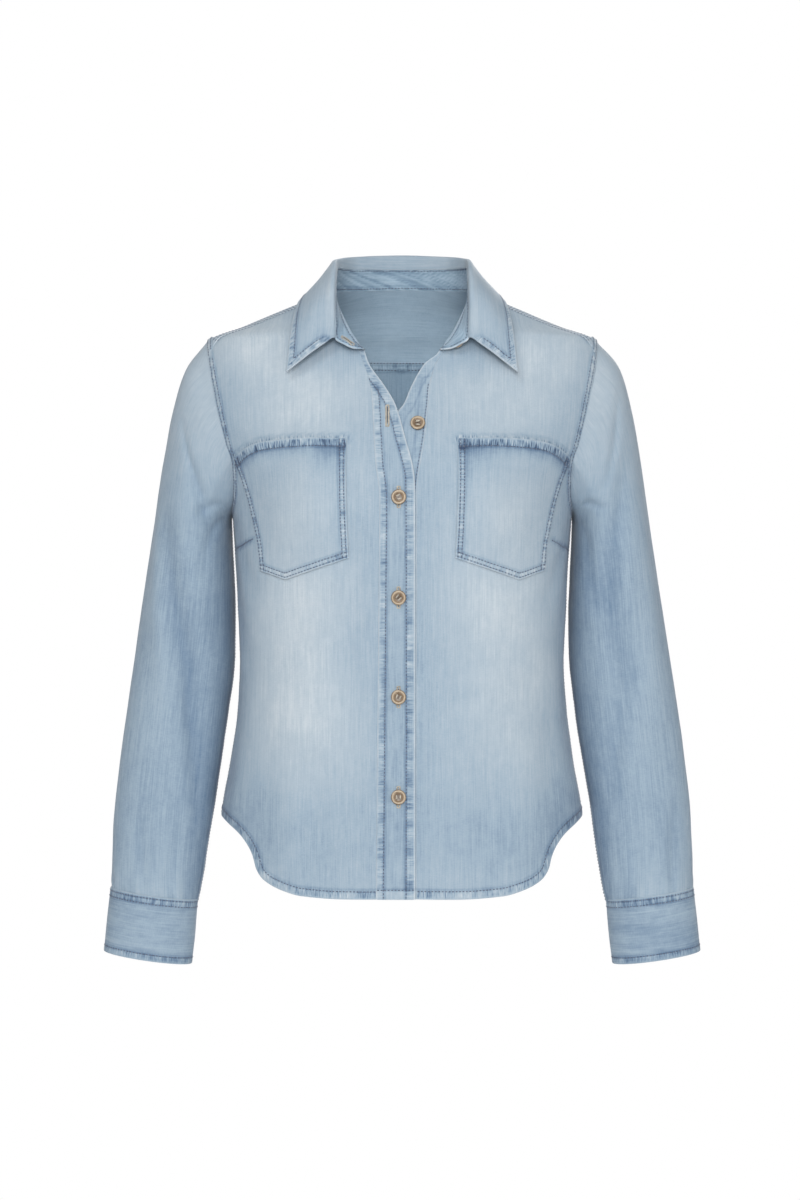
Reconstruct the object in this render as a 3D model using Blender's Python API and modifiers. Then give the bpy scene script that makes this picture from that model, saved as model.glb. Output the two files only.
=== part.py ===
"""A denim shirt, worn open at the neck with nobody in it. Millimetres in the tables, metres in the scene.

The origin is midway between the two neck points, where the shoulders' ridges meet the neck, and 8 mm below
them; X to the wearer's left, Y to the back, Z up. The body is a stack of rounded horizontal sections, and a
place on it is (turn, z): turn is the angle about Z from the centre front, positive to the wearer's left. Each
panel is a patch between its seams.
"""

import math
from collections import namedtuple

import bpy
import numpy as np

MM = 0.001
LEFT, RIGHT = 1, -1  # the wearer's sides, as the sign of X

# Cloth
PANEL = 1.3  # wall of a single ply
BAND = 2.0  # wall of plackets, cuffs and collar
POCKET = 1.1
SEAM_GAP = 0.3
SHOULDER_GAP = 0.9  # the shoulder seam runs along a bend
LAYER_GAP = 0.5  # between cloth that lies on cloth
POCKET_GAP = 1.5  # the pocket has other facets than the panel that it lies on

# Buttons
BUTTON_RADIUS = 7.2
BUTTON_THICK = 3.0
BUTTON_PITCH = 95.6
FIRST_BUTTON_Z = -201.8
OPEN_BUTTON = (15.0, -131.5)  # x and z of the one left undone
BUTTON_LINE = 3.4  # from the centre front, towards the wearer's right
NECK_BUTTON = (5.4, 0.085, 0.66)  # radius, share of the collar from its end, share of the stand's height
CUFF_BUTTON = (6.4, 13)  # radius, and how many degrees in from the end of the cuff

# Faceting, in steps along each seam
FRONT_ACROSS = 10
SIDE_ROWS = 11
FRONT_ARM_ROWS = 7
BACK_ARM_ROWS = 5
NECK_ROWS = 4
BACK_NECK_COLUMNS = 5
YOKE_ROWS = 6
PLACKET_ACROSS = 2
SLEEVE_ROWS = 15
HEM_REACH = 0.55  # the hem's curve bends the rows of facets over this share of them
FINE = 60  # points in a seam line before it is divided

Section = namedtuple("Section", "z half_width front back roundness")
BODY = [
    Section(-600, 181, 119, 106, 2.35),
    Section(-515, 179, 116, 101, 2.35),  # top of the side hem
    Section(-460, 170, 112, 93, 2.3),
    Section(-410, 163, 110, 86, 2.3),
    Section(-366, 161, 109, 82, 2.3),  # waist
    Section(-300, 164, 112, 86, 2.3),
    Section(-250, 166.5, 115, 92, 2.3),
    Section(-212, 169, 117, 97, 2.3),  # armpit
    Section(-180, 176.5, 116.5, 100, 2.3),
    Section(-150, 189, 112, 102, 2.3),
    Section(-110, 201, 98, 101, 2.25),
    Section(-80, 203, 86, 97.5, 2.2),
    Section(-58, 200, 78, 93, 2.2),
    Section(-41.5, 193.5, 72, 89, 2.15),  # shoulder point
    Section(-29.5, 162, 66, 84, 2.1),
    Section(-11, 118, 57, 76.5, 2.1),
    Section(8, 74, 46, 66, 2.1),  # where neck and shoulder meet
    Section(20, 60, 38, 58, 2.1),
]
SHOULDER_Z, ARMPIT_Z, NECK_Z = -41.5, -212, 8
BACK_NECK_Z = 16.5
YOKE_Z = -56.0
YOKE_FRONT_Y = -28.0  # the shoulder seam lies this far in front of the ridge
UNDER_NECK_X = 92.0  # the yoke's facets inside this width end at the neck

Bust = namedtuple("Bust", "x z rise across above below")
BUST = Bust(x=80, z=-198, rise=9, across=46, above=60, below=75)

Hem = namedtuple("Hem", "x z")
HEM = [
    Hem(0, -585),
    Hem(57, -586),
    Hem(96, -584),
    Hem(116, -579),
    Hem(134, -570),
    Hem(141.5, -560),
    Hem(144.5, -549),
    Hem(150, -538),
    Hem(159, -527),
    Hem(171, -518),
    Hem(179, -513),
]

# The plackets' edges, each from the centre front outwards
Opening = namedtuple("Opening", "z upper_border upper_edge under_border under_edge")
OPENING = [
    Opening(-600, 24.5, -12, 13.5, -20),
    Opening(-330, 22, -12, 13.5, -20),
    Opening(-200, 21, -12, 13.5, -20),
    Opening(-185, 22.5, -11.5, 14.5, -19),
    Opening(-171, 24.5, -9.5, 16.5, -16.5),
    Opening(-148, 26, -3.2, 20.5, -11.5),
    Opening(-120, 27.5, 4.6, 23.7, -4.2),
    Opening(-112, 28, 7.4, 24.5, 1.9),
    Opening(-95, 30, 16.7, 26, 8.8),
    Opening(-71, 37, 32.2, 30.5, 20.2),
    Opening(-62, 40, 35.4, 35.5, 31),
    Opening(-50, 44, 38, 41, 38),
]
LAP_TOP = (-118.0, -70.0)  # the upper front lies on the lower one below these heights
LAP_FADE = (18.0, 52.0)

Neck = namedtuple("Neck", "z x")
NECK = [
    Neck(-58, 36.5),  # the end of the collar
    Neck(-50, 44),
    Neck(-40, 51),
    Neck(-28, 57),
    Neck(-17, 62),
    Neck(-3, 67.5),
    Neck(8, 74),
]

Armhole = namedtuple("Armhole", "z front back")
ARMHOLE = [
    Armhole(-212, 169, 169),
    Armhole(-200, 166, 170),
    Armhole(-185, 165, 172),
    Armhole(-166, 166, 174.5),
    Armhole(-150, 171, 177),
    Armhole(-114, 180.5, 182),
    Armhole(-73, 189, 188.5),
    Armhole(-55, 192, 191.5),
    Armhole(-46, 193.3, 193),
    Armhole(-41.5, 193.5, 193.5),
]

Cuffward = namedtuple("Cuffward", "outer_x outer_z inner_x inner_z front back")
SLEEVE = [
    Cuffward(193.5, -41.5, 169, -212, -54, 49),
    Cuffward(216, -70, 170.5, -215, -57, 53),
    Cuffward(229, -114, 171.5, -218, -58, 58),
    Cuffward(239.5, -172, 171.5, -223, -56, 63),
    Cuffward(248, -228, 171, -240, -51, 67),
    Cuffward(259, -298, 168, -305, -42, 62),
    Cuffward(267, -350, 168.5, -354, -35, 54),
    Cuffward(275, -406, 175, -410, -33, 46),
    Cuffward(282.5, -464, 183.5, -470, -34, 38),
    Cuffward(288, -524, 193, -532, -37, 31),
    Cuffward(289.5, -585, 203.5, -597, -40, 24),
]
SLEEVE_CLEAR = 3.5  # between the middles of the sleeve's wall and the body's
CLEAR_FROM_Z = ARMPIT_Z + 24
CAP_ROWS = 4.0  # the sleeve keeps something of the armhole's shape down to this row
CUFF = [
    Cuffward(290, -586, 203.5, -598, -41, 24.5),
    Cuffward(293.5, -617, 206, -629.5, -41.5, 22.5),
    Cuffward(296.5, -648, 209.5, -661, -42, 20.5),
]
CUFF_END = math.radians(300)  # where the upper end of the cuff stops, from the outer side by the front
CUFF_LAP = math.radians(48)
CUFF_STEPS = 20

SLEEVE_START = 0.9  # how far from the armhole's line the sleeve starts
UNDERARM_CLEAR = 3.0  # and how much farther out its first row is under the arm

Fold = namedtuple("Fold", "turn_0 share_0 turn_1 share_1 width depth")
FOLD_FADE = 1.5  # a fold dies out at its length divided by this, from its middle each way
SLEEVE_FOLDS = [
    Fold(1.15, 0.26, 1.75, 0.50, 0.20, 4.5),
    Fold(1.75, 0.48, 1.60, 0.66, 0.20, 5.0),
    Fold(1.60, 0.62, 2.05, 0.80, 0.22, 3.5),
    Fold(0.75, 0.12, 1.70, 0.30, 0.22, 3.0),
    Fold(4.30, 0.30, 4.75, 0.62, 0.24, 4.5),
    Fold(5.35, 0.45, 4.95, 0.78, 0.22, 3.5),
]

Outline = namedtuple("Outline", "x z")
POCKET_TOP = [
    Outline(52.5, -146),
    Outline(95, -146),
    Outline(130, -147.5),
    Outline(150, -153),
    Outline(163, -162),
]
POCKET_OUTER = [
    Outline(136.5, -271),
    Outline(138.5, -250),
    Outline(143, -227),
    Outline(150, -198),
    Outline(163, -162),
]
POCKET_FOOT = [Outline(50, -259.5), Outline(111, -280), Outline(136.5, -271)]
POCKET_INNER = [Outline(50, -259.5), Outline(52.5, -146)]
POCKET_ACROSS, POCKET_UP = 6, 6

# The collar, from its front end to the centre back: where each line passes.
Collar = namedtuple("Collar", "share stand roll fall edge")
COLLAR = [
    Collar(0.000, (37.5, -83, -57), None, None, None),
    Collar(0.035, (46, -85, -56.5), None, None, None),
    Collar(0.085, (56, -87, -52.5), None, None, None),
    Collar(0.145, (64.5, -87, -46), (66.5, -89.5, -46), (88, -91, -61), (111.5, -89, -79)),
    Collar(0.245, (65, -76, -4), (66.5, -80, -1), (86, -81, -20), (108, -79, -45)),
    Collar(0.341, (64.5, -54, 19), (66, -59, 24), (84, -60, 4), (104.5, -59, -19)),
    Collar(0.438, (64.5, -30, 28), (66, -33, 35), (81.5, -33, 16), (100.5, -31, -4)),
    Collar(0.550, (64.5, 0, 33), (66, -1, 40), (79.5, 4, 22), (97.5, 8, 2)),
    Collar(0.662, (58, 23, 35), (60.5, 25, 44.5), (73.5, 37, 25), (88.5, 43, 1)),
    Collar(0.775, (44, 42, 36.5), (46, 46, 48.5), (56, 60, 28), (65.5, 69, 0)),
    Collar(1.000, (0, 57, 38), (0, 61.5, 52), (0, 73, 29), (0, 81, 0)),
]
LEAF_START = 0.145
STAND_ROOT = (2.8, 1.9)  # how far off the neck seam the stand starts, where it lies open and where it rises
STAND_RISES = (0.15, 0.45)  # the shares between which it changes from one to the other


def spline(xs, ys, at):
    """A smooth curve through the points that doesn't overshoot them, read at each value of at."""
    xs, ys = np.asarray(xs, float), np.asarray(ys, float)
    at = np.clip(at, xs[0], xs[-1])
    step = np.diff(xs)
    slope = np.diff(ys) / step
    turning = slope[1:] * slope[:-1] <= 0
    total = np.where(turning, 1.0, slope[1:] + slope[:-1])
    inner = np.where(turning, 0.0, 2 * slope[1:] * slope[:-1] / total)
    tangent = np.concatenate([slope[:1], inner, slope[-1:]])
    i = np.clip(np.searchsorted(xs, at, side="right") - 1, 0, len(step) - 1)
    t = (at - xs[i]) / step[i]
    rise = t * t * (3 - 2 * t)
    return (
        ys[i] * (1 - rise)
        + ys[i + 1] * rise
        + step[i] * (tangent[i] * t * (1 - t) ** 2 - tangent[i + 1] * t * t * (1 - t))
    )


def column(rows, name):
    return [getattr(row, name) for row in rows]


def read(rows, key, name, at):
    return spline(column(rows, key), column(rows, name), at)


def ramp(x, start, end):
    """0 before start, 1 after end, smooth between."""
    t = np.clip((x - start) / (end - start), 0, 1)
    return t * t * (3 - 2 * t)


def mix(a, b, t):
    return a * (1 - t) + b * t


def unit(vectors):
    return vectors / np.linalg.norm(vectors, axis=-1, keepdims=True)


# The body's form


def body(turn, z):
    """Points of the body at those turns and heights."""
    turn, z = np.broadcast_arrays(np.asarray(turn, float), np.asarray(z, float))
    sine, cosine = np.sin(turn), np.cos(turn)
    wide = read(BODY, "z", "half_width", z)
    deep = np.where(cosine > 0, read(BODY, "z", "front", z), read(BODY, "z", "back", z))
    n = read(BODY, "z", "roundness", z)
    reach = ((abs(sine) / wide) ** n + (abs(cosine) / deep) ** n) ** (-1 / n)
    fall = np.where(z > BUST.z, BUST.above, BUST.below)
    swell = np.exp(-(((abs(reach * sine) - BUST.x) / BUST.across) ** 2) - ((z - BUST.z) / fall) ** 2)
    out = reach + BUST.rise * swell * np.clip(cosine, 0, 1)
    return np.stack([out * sine, -out * cosine, z], axis=-1)


def outward(turn, z):
    """The body's unit normals there."""
    small = 1e-3
    along = body(turn + small, z) - body(turn - small, z)
    up = body(turn, z + small) - body(turn, z - small)
    return unit(np.cross(along, up))


def turn_at(x, z, back=False):
    """The turn at which the section at height z is x wide of the centre."""
    wide, n = read(BODY, "z", "half_width", z), read(BODY, "z", "roundness", z)
    deep = read(BODY, "z", "back" if back else "front", z)
    y = deep * np.clip(1 - (np.clip(abs(x) / wide, 0, 1)) ** n, 0, 1) ** (1 / n)
    return np.arctan2(x, -y if back else y)


def height_at(x, y):
    """The height at which the shoulders' surface passes over the point (x, y)."""
    low, high = np.full(np.shape(x), -100.0), np.full(np.shape(x), 20.0)
    for _ in range(30):
        z = (low + high) / 2
        n = read(BODY, "z", "roundness", z)
        deep = np.where(y < 0, read(BODY, "z", "front", z), read(BODY, "z", "back", z))
        inside = (abs(x) / read(BODY, "z", "half_width", z)) ** n + (abs(y) / deep) ** n < 1
        low, high = np.where(inside, z, low), np.where(inside, high, z)
    return (low + high) / 2


def lap(side, across, z):
    """How far the wearer's right front is lifted by the left front that it lies on."""
    lift = BAND + LAYER_GAP
    near = 1 - ramp(across, *LAP_FADE)
    return lift * near * (1 - ramp(z, *LAP_TOP)) if side == RIGHT else 0 * z


def front(side, turn, z, out=0.0):
    """Points of one front, out millimetres from its middle. Turn counts from the centre towards that side."""
    place = body(turn, z)
    place = place + outward(turn, z) * np.asarray(out + lap(side, place[..., 0], z))[..., None]
    return place * (side, 1, 1)


# Seam lines, as arrays of (turn, z) for the wearer's left


def hem_line(start, back=False):
    """The hem from x = start out to the side seam."""
    x = mix(start, HEM[-1].x, np.linspace(0, 1, FINE) ** 0.8)
    z = read(HEM, "x", "z", x)
    turn = turn_at(x, z, back)
    turn[-1] = math.pi / 2
    return np.stack([turn, z], axis=1)


def placket_x(side, z, name):
    return read(OPENING, "z", f"{'under' if side == LEFT else 'upper'}_{name}", z)


def neck_line(z_start, z_end):
    """The front neckline between two heights."""
    z = np.linspace(z_start, z_end, FINE)
    return np.stack([turn_at(read(NECK, "z", "x", z), z), z], axis=1)


def border_line(side, name):
    """A placket's border or free edge, from hem to neck."""
    top = NECK[1] if name == "border" else NECK[0]
    foot = read(HEM, "x", "z", 20)
    z = np.linspace(foot, top.z, 4 * FINE)
    x = placket_x(side, z, name)
    x = x + (top.x - x[-1]) * ramp(z, -100, top.z)
    return np.stack([turn_at(x, z), z], axis=1)


def arm_line(name, z_start, z_end):
    """One side of the armhole between two heights, crowded towards the armpit."""
    t = np.linspace(0, 1, FINE)
    root = mix(math.sqrt(z_start - ARMPIT_Z), math.sqrt(z_end - ARMPIT_Z), t)
    z = ARMPIT_Z + root**2
    turn = turn_at(read(ARMHOLE, "z", name, z), z, back=name == "back")
    turn[(z <= ARMPIT_Z + 1e-6) | (abs(z - SHOULDER_Z) < 1e-6)] = math.pi / 2
    return np.stack([turn, z], axis=1)


def side_line():
    z = np.linspace(HEM[-1].z, ARMPIT_Z, FINE)
    return np.stack([np.full(FINE, math.pi / 2), z], axis=1)


def on_body(line):
    return body(line[..., 0], line[..., 1])


def divide(line, steps, place=on_body, crowd=1.0):
    """The line again as steps equal lengths; crowd above 1 draws them to its end."""
    points = place(line)
    lengths = np.linalg.norm(np.diff(points, axis=0), axis=1)
    travelled = np.concatenate([[0], np.cumsum(lengths)])
    at = travelled[-1] * (1 - (1 - np.linspace(0, 1, steps + 1)) ** crowd)
    return np.stack([np.interp(at, travelled, line[:, k]) for k in range(line.shape[1])], axis=1)


def join(*lines):
    """Lines end to end, with the shared points kept once."""
    return np.concatenate([lines[0]] + [line[1:] for line in lines[1:]])


def patch(bottom, top, start, end, reach=1.0):
    """A grid of places between four seam lines. Rows run from start to end, and the first row is bottom.

    The shape of the first row is felt over that share of the rows.
    """
    s = np.linspace(0, 1, len(bottom))[None, :, None]
    t = np.linspace(0, 1, len(start))[:, None, None]
    t = t if reach == 1.0 else ramp(t, 0, reach)
    sides = mix(start[:, None], end[:, None], s)
    ends = mix(bottom[None], top[None], t)
    corners = mix(mix(bottom[0], bottom[-1], s), mix(top[0], top[-1], s), t)
    return sides + ends - corners


# The panels' grids


def shoulder_seam_ends():
    """Where the front shoulder seam meets the neckline and the armhole, as heights."""
    z = np.linspace(SHOULDER_Z, ARMPIT_Z / 2, 4 * FINE)
    y = body(turn_at(read(ARMHOLE, "z", "front", z), z), z)[:, 1]
    arm = float(np.interp(-YOKE_FRONT_Y, -y, z))
    z = np.linspace(NECK_Z, NECK[0].z, 4 * FINE)
    y = body(turn_at(read(NECK, "z", "x", z), z), z)[:, 1]
    return float(np.interp(-YOKE_FRONT_Y, -y, z)), arm


def shoulder_line():
    """The front shoulder seam from neck to armhole."""
    neck_z, arm_z = shoulder_seam_ends()
    x = np.linspace(read(NECK, "z", "x", neck_z), read(ARMHOLE, "z", "front", arm_z), FINE)
    z = height_at(x, np.full(FINE, YOKE_FRONT_Y))
    z[0], z[-1] = neck_z, arm_z
    turn = np.arctan2(x, -YOKE_FRONT_Y)
    return np.stack([turn, z], axis=1)


def front_grid(side):
    neck_z, arm_z = shoulder_seam_ends()
    border = border_line(side, "border")
    rows = SIDE_ROWS + FRONT_ARM_ROWS - NECK_ROWS
    start = join(divide(border, rows), divide(neck_line(NECK[1].z, neck_z), NECK_ROWS))
    end = join(divide(side_line(), SIDE_ROWS), divide(arm_line("front", ARMPIT_Z, arm_z), FRONT_ARM_ROWS))
    foot_x = float(placket_x(side, border[0, 1], "border"))
    bottom = divide(hem_line(foot_x), FRONT_ACROSS, crowd=1.15)
    return patch(bottom, divide(shoulder_line(), FRONT_ACROSS), start, end, HEM_REACH)


def placket_grid(side):
    rows = SIDE_ROWS + FRONT_ARM_ROWS - NECK_ROWS
    border, edge = (divide(border_line(side, name), rows) for name in ("border", "edge"))
    return patch(
        mix(edge[0], border[0], np.linspace(0, 1, PLACKET_ACROSS + 1)[:, None]),
        divide(neck_line(NECK[0].z, NECK[1].z), PLACKET_ACROSS),
        edge,
        border,
    )


def back_neck_line():
    """The neckline from the shoulder seam over the neck point round to the centre back."""
    neck_z, _ = shoulder_seam_ends()
    ahead = neck_line(neck_z, NECK_Z)
    turn = np.linspace(math.pi / 2, math.pi, FINE)
    z = mix(NECK_Z, BACK_NECK_Z, ramp(turn, math.pi / 2 - 0.6, math.pi))
    z = z - (z[0] - NECK_Z) * (1 - ramp(turn, math.pi / 2, math.pi / 2 + 0.5))
    return join(ahead, np.stack([turn, z], axis=1))


def plan(line):
    """(turn, z) places as (x, y)."""
    return on_body(line)[..., :2]


def yoke_seam():
    """The yoke's seam across the back, from the centre to the armhole, divided below the neck and beyond it."""

    def stretch(start, end, steps):
        x, z = np.linspace(start, end, FINE), np.full(FINE, YOKE_Z)
        return divide(np.stack([turn_at(x, z, back=True), z], axis=1), steps)

    arm_x = float(read(ARMHOLE, "z", "back", YOKE_Z))
    return join(stretch(0, UNDER_NECK_X, BACK_NECK_COLUMNS), stretch(UNDER_NECK_X, arm_x, FRONT_ACROSS))


def yoke_grid():
    """Half the yoke as a grid of (x, y), from its seam on the back to the neck and the front shoulder seam."""
    _, arm_z = shoulder_seam_ends()
    neck = divide(back_neck_line(), BACK_NECK_COLUMNS)[::-1]
    top = join(neck, divide(shoulder_line(), FRONT_ACROSS))
    centre = np.stack([np.full(FINE, math.pi), np.linspace(YOKE_Z, BACK_NECK_Z, FINE)], axis=1)
    arm = join(arm_line("back", YOKE_Z, SHOULDER_Z), arm_line("front", SHOULDER_Z, arm_z))
    lines = (yoke_seam(), top, divide(centre, YOKE_ROWS), divide(arm, YOKE_ROWS))
    grid = patch(*(plan(line) for line in lines))
    return np.concatenate([grid, height_at(grid[..., 0], grid[..., 1])[..., None]], axis=-1), lines


def back_grid():
    """Half the back below the yoke, from the centre to the side."""
    columns = BACK_NECK_COLUMNS + FRONT_ACROSS
    rows = SIDE_ROWS + BACK_ARM_ROWS
    hem = hem_line(0.01, back=True)
    centre = np.stack([np.full(FINE, math.pi), np.linspace(hem[0, 1], YOKE_Z, FINE)], axis=1)
    side = join(divide(side_line(), SIDE_ROWS), divide(arm_line("back", ARMPIT_Z, YOKE_Z), BACK_ARM_ROWS))
    return patch(divide(hem, columns), yoke_seam(), divide(centre, rows), side, HEM_REACH)


def armhole_points():
    """The armhole as the panels' own seam points, from the shoulder by the front to the armpit and up the back."""
    _, arm_z = shoulder_seam_ends()
    front_part = divide(arm_line("front", ARMPIT_Z, arm_z), FRONT_ARM_ROWS)[::-1]
    back_part = divide(arm_line("back", ARMPIT_Z, YOKE_Z), BACK_ARM_ROWS)
    over = divide(
        join(arm_line("back", YOKE_Z, SHOULDER_Z), arm_line("front", SHOULDER_Z, arm_z)), YOKE_ROWS
    )
    return on_body(join(front_part, back_part, over)[:-1])


# Sleeves and cuffs


def ring(rows, at, angle):
    """Points round a sleeve at row number at. Angle 0 is its outer side, a quarter turn on is its front."""
    index = range(len(rows))
    outer_x, outer_z, inner_x, inner_z, ahead, behind = (
        spline(index, column(rows, name), at) for name in Cuffward._fields
    )
    x = (outer_x + inner_x) / 2 + (outer_x - inner_x) / 2 * np.cos(angle)
    z = (outer_z + inner_z) / 2 + (outer_z - inner_z) / 2 * np.cos(angle)
    y = (ahead + behind) / 2 + (ahead - behind) / 2 * np.sin(angle)
    return np.stack(np.broadcast_arrays(x, y, z), axis=-1)


def fold_depth(angle, share):
    """How deep the sleeve's soft folds are at an angle and a share of its length."""
    deep = 0
    for fold in SLEEVE_FOLDS:
        along = (share - fold.share_0) / (fold.share_1 - fold.share_0)
        middle = mix(fold.turn_0, fold.turn_1, np.clip(along, 0, 1))
        ends = np.clip(1 - (FOLD_FADE * (along - 0.5)) ** 2, 0, 1)
        deep = deep + fold.depth * ends * np.exp(-(((angle - middle) / fold.width) ** 2))
    return deep


def loop_angles(loop):
    """For each armhole point, the sleeve angle that it belongs to: half a turn at the armpit."""
    lengths = np.linalg.norm(np.diff(loop, axis=0, append=loop[:1]), axis=1)
    travelled = np.concatenate([[0], np.cumsum(lengths)])
    top = int(np.argmin(abs(loop[:, 1]) + 1e3 * (loop[:, 2] < SHOULDER_Z - 2)))
    pit = int(np.argmin(loop[:, 2]))
    after_top = (travelled[:-1] - travelled[top]) % travelled[-1]
    to_pit = after_top[pit]
    return np.where(
        after_top <= to_pit,
        math.pi * after_top / to_pit,
        math.pi + math.pi * (after_top - to_pit) / (travelled[-1] - to_pit),
    )


def sleeve(loop, angle, share):
    """Points of the wearer's left sleeve. Share runs from the armhole at 0 to the cuff at 1."""
    at = share * (len(SLEEVE) - 1)
    round_it = ring(SLEEVE, at, angle)
    keep = 1 - ramp(at, 0, CAP_ROWS)
    round_it = round_it + keep[..., None] * (loop - ring(SLEEVE, 0.0, angle))
    centre = (ring(SLEEVE, at, 0.0) + ring(SLEEVE, at, math.pi)) / 2
    folded = round_it + unit(centre - round_it) * fold_depth(angle, share)[..., None]
    return beside_body(folded)


def beside_body(points):
    """The points, with those below the armpit kept clear of the body's side."""
    x, y, z = np.moveaxis(points, -1, 0)
    n = read(BODY, "z", "roundness", z)
    deep = np.where(y < 0, read(BODY, "z", "front", z), read(BODY, "z", "back", z))
    side = read(BODY, "z", "half_width", z) * np.clip(1 - (abs(y) / deep) ** n, 0, 1) ** (1 / n)
    nearest = side + SLEEVE_CLEAR * ramp(z, CLEAR_FROM_Z, ARMPIT_Z + 2)
    return np.stack([np.where(z < CLEAR_FROM_Z, np.maximum(x, nearest), x), y, z], axis=-1)


def sleeve_grid():
    loop = armhole_points()
    angle = loop_angles(loop)
    share = (np.arange(SLEEVE_ROWS + 1) / SLEEVE_ROWS)[:, None]
    grid = sleeve(loop[None], angle[None], share)
    under = np.clip(-np.cos(angle), 0, 1)[:, None]
    grid[0] = grid[0] + unit(grid[1] - grid[0]) * SLEEVE_START + under * (UNDERARM_CLEAR, 0, 0)
    return grid


def cuff_rise(t):
    """How far the cuff stands off its middle form, from its under end at t = 0 to its upper end at 1."""
    return (BAND + 2 * LAYER_GAP) * (ramp(t, 0.80, 0.90) - 0.5)


def cuff_grid():
    """A band that laps over itself, its upper end the outer one."""
    angle = np.linspace(CUFF_END - 2 * math.pi - CUFF_LAP, CUFF_END, CUFF_STEPS + 1)
    rise = cuff_rise(np.linspace(0, 1, CUFF_STEPS + 1))
    rows = np.linspace(0, len(CUFF) - 1, 3)[:, None]
    grid = ring(CUFF, rows, angle[None])
    centre = (ring(CUFF, rows, 0.0) + ring(CUFF, rows, math.pi)) / 2
    return grid + unit(grid - centre) * rise[None, :, None]


# The collar


def collar_line(name, share):
    """A line of the collar, read smoothly on past the centre back, where the other half begins."""
    rows = [row for row in COLLAR if getattr(row, name) is not None]
    points = np.array([getattr(row, name) for row in rows], float)
    points = np.concatenate([points, points[-2:-1] * (-1, 1, 1)])
    shares = [row.share for row in rows] + [2 - rows[-2].share]
    return np.stack([spline(shares, points[:, k], share) for k in range(3)], axis=-1)


def neck_line_to_back():
    """The neck seam from the end of the collar to the centre back, divided as the panels divide it."""
    neck_z, _ = shoulder_seam_ends()
    start = divide(neck_line(NECK[0].z, NECK[1].z), PLACKET_ACROSS)
    middle = divide(neck_line(NECK[1].z, neck_z), NECK_ROWS)
    end = divide(back_neck_line(), BACK_NECK_COLUMNS)
    return join(start, middle, end)


def shares_of(points):
    lengths = np.concatenate([[0], np.cumsum(np.linalg.norm(np.diff(points, axis=0), axis=1))])
    return lengths / lengths[-1]


def stand_grid():
    seam = neck_line_to_back()
    place, share = on_body(seam), shares_of(on_body(seam))
    top = collar_line("stand", share)
    stands = ramp(share, *STAND_RISES)[:, None]
    away = mix(outward(seam[:, 0], seam[:, 1]), unit(top - place), stands)
    root = place + unit(away) * mix(*STAND_ROOT, stands)
    return np.stack([mix(root, top, t) for t in (0, 0.5, 1)])


def leaf_grid():
    """The folded collar: up from the stand, over the roll and down to the outer edge."""
    seam_shares = shares_of(on_body(neck_line_to_back()))
    inner = seam_shares[seam_shares > LEAF_START + 0.03]
    share = np.concatenate([[LEAF_START], inner])
    stand, roll, fall, edge = (collar_line(name, share) for name in ("stand", "roll", "fall", "edge"))
    rise = unit(roll - stand)
    root = stand + rise * 2 * SEAM_GAP
    crest = roll + (fall - roll) * 0.10 + rise * 1.0
    turned = roll + (fall - roll) * 0.32 + rise * 0.4
    return np.stack([root, roll, crest, turned, fall, mix(fall, edge, 0.5), edge])


# Making the objects


def clear_scene():
    for obj in list(bpy.data.objects):
        bpy.data.objects.remove(obj, do_unlink=True)


def material(name, colour, roughness):
    made = bpy.data.materials.new(name)
    made.use_nodes = True
    shader = made.node_tree.nodes["Principled BSDF"]
    shader.inputs["Base Color"].default_value = (*colour, 1)
    shader.inputs["Roughness"].default_value = roughness
    shader.inputs["Metallic"].default_value = 0.0
    return made


def add(name, mesh, finish, collection):
    obj = bpy.data.objects.new(name, mesh)
    obj.data.materials.append(finish)
    collection.objects.link(obj)
    return obj


def cloth(name, grid, wall, finish, collection, closed=False, flip=False, mirrored=False):
    """A grid of points in millimetres as a wall of cloth, in rows; closed joins each row's end to its start."""
    rows, columns = grid.shape[:2]
    points = (grid * MM).reshape(-1, 3)
    faces = []
    for i in range(rows - 1):
        for j in range(columns if closed else columns - 1):
            k = (j + 1) % columns
            corners = [i * columns + j, i * columns + k, (i + 1) * columns + k, (i + 1) * columns + j]
            faces.append(corners[::-1] if flip else corners)
    mesh = bpy.data.meshes.new(name)
    mesh.from_pydata(points.tolist(), [], faces)
    obj = add(name, mesh, finish, collection)
    if mirrored:
        mirror = obj.modifiers.new("other half", "MIRROR")
        mirror.use_clip = True
        mirror.merge_threshold = 0.0001
    solid = obj.modifiers.new("wall", "SOLIDIFY")
    solid.thickness = wall * MM
    solid.offset = 0.0
    solid.use_even_offset = True
    return obj


# The button's half section, as shares of its radius and of its thickness
Turned = namedtuple("Turned", "radius height")
BUTTON_PROFILE = [
    Turned(0, 0.62),
    Turned(0.42, 0.62),
    Turned(0.55, 1),
    Turned(0.86, 1),
    Turned(1, 0.62),
    Turned(0.8, 0),
    Turned(0, 0),
]


def button_mesh(radius=BUTTON_RADIUS):
    """A turned button with a raised rim and a sunk middle, on its own axis Z."""
    r, h = radius, BUTTON_THICK * radius / BUTTON_RADIUS
    mesh = bpy.data.meshes.new("button")
    points = [(row.radius * r * MM, 0, row.height * h * MM) for row in BUTTON_PROFILE]
    mesh.from_pydata(points, [(i, i + 1) for i in range(len(points) - 1)], [])
    return mesh


def button(name, mesh, place, normal, finish, collection):
    obj = add(name, mesh, finish, collection)
    turned = obj.modifiers.new("turn", "SCREW")
    turned.steps = turned.render_steps = 12
    turned.use_merge_vertices = True
    turned.merge_threshold = 0.0001
    obj.location = [c * MM for c in place]
    obj.rotation_mode = "QUATERNION"
    from_z = np.array([0.0, 0.0, 1.0])
    axis = np.cross(from_z, normal)
    angle = math.atan2(np.linalg.norm(axis), float(normal @ from_z))
    axis = unit(axis)
    obj.rotation_quaternion = (math.cos(angle / 2), *(axis * math.sin(angle / 2)))
    return obj


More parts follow.
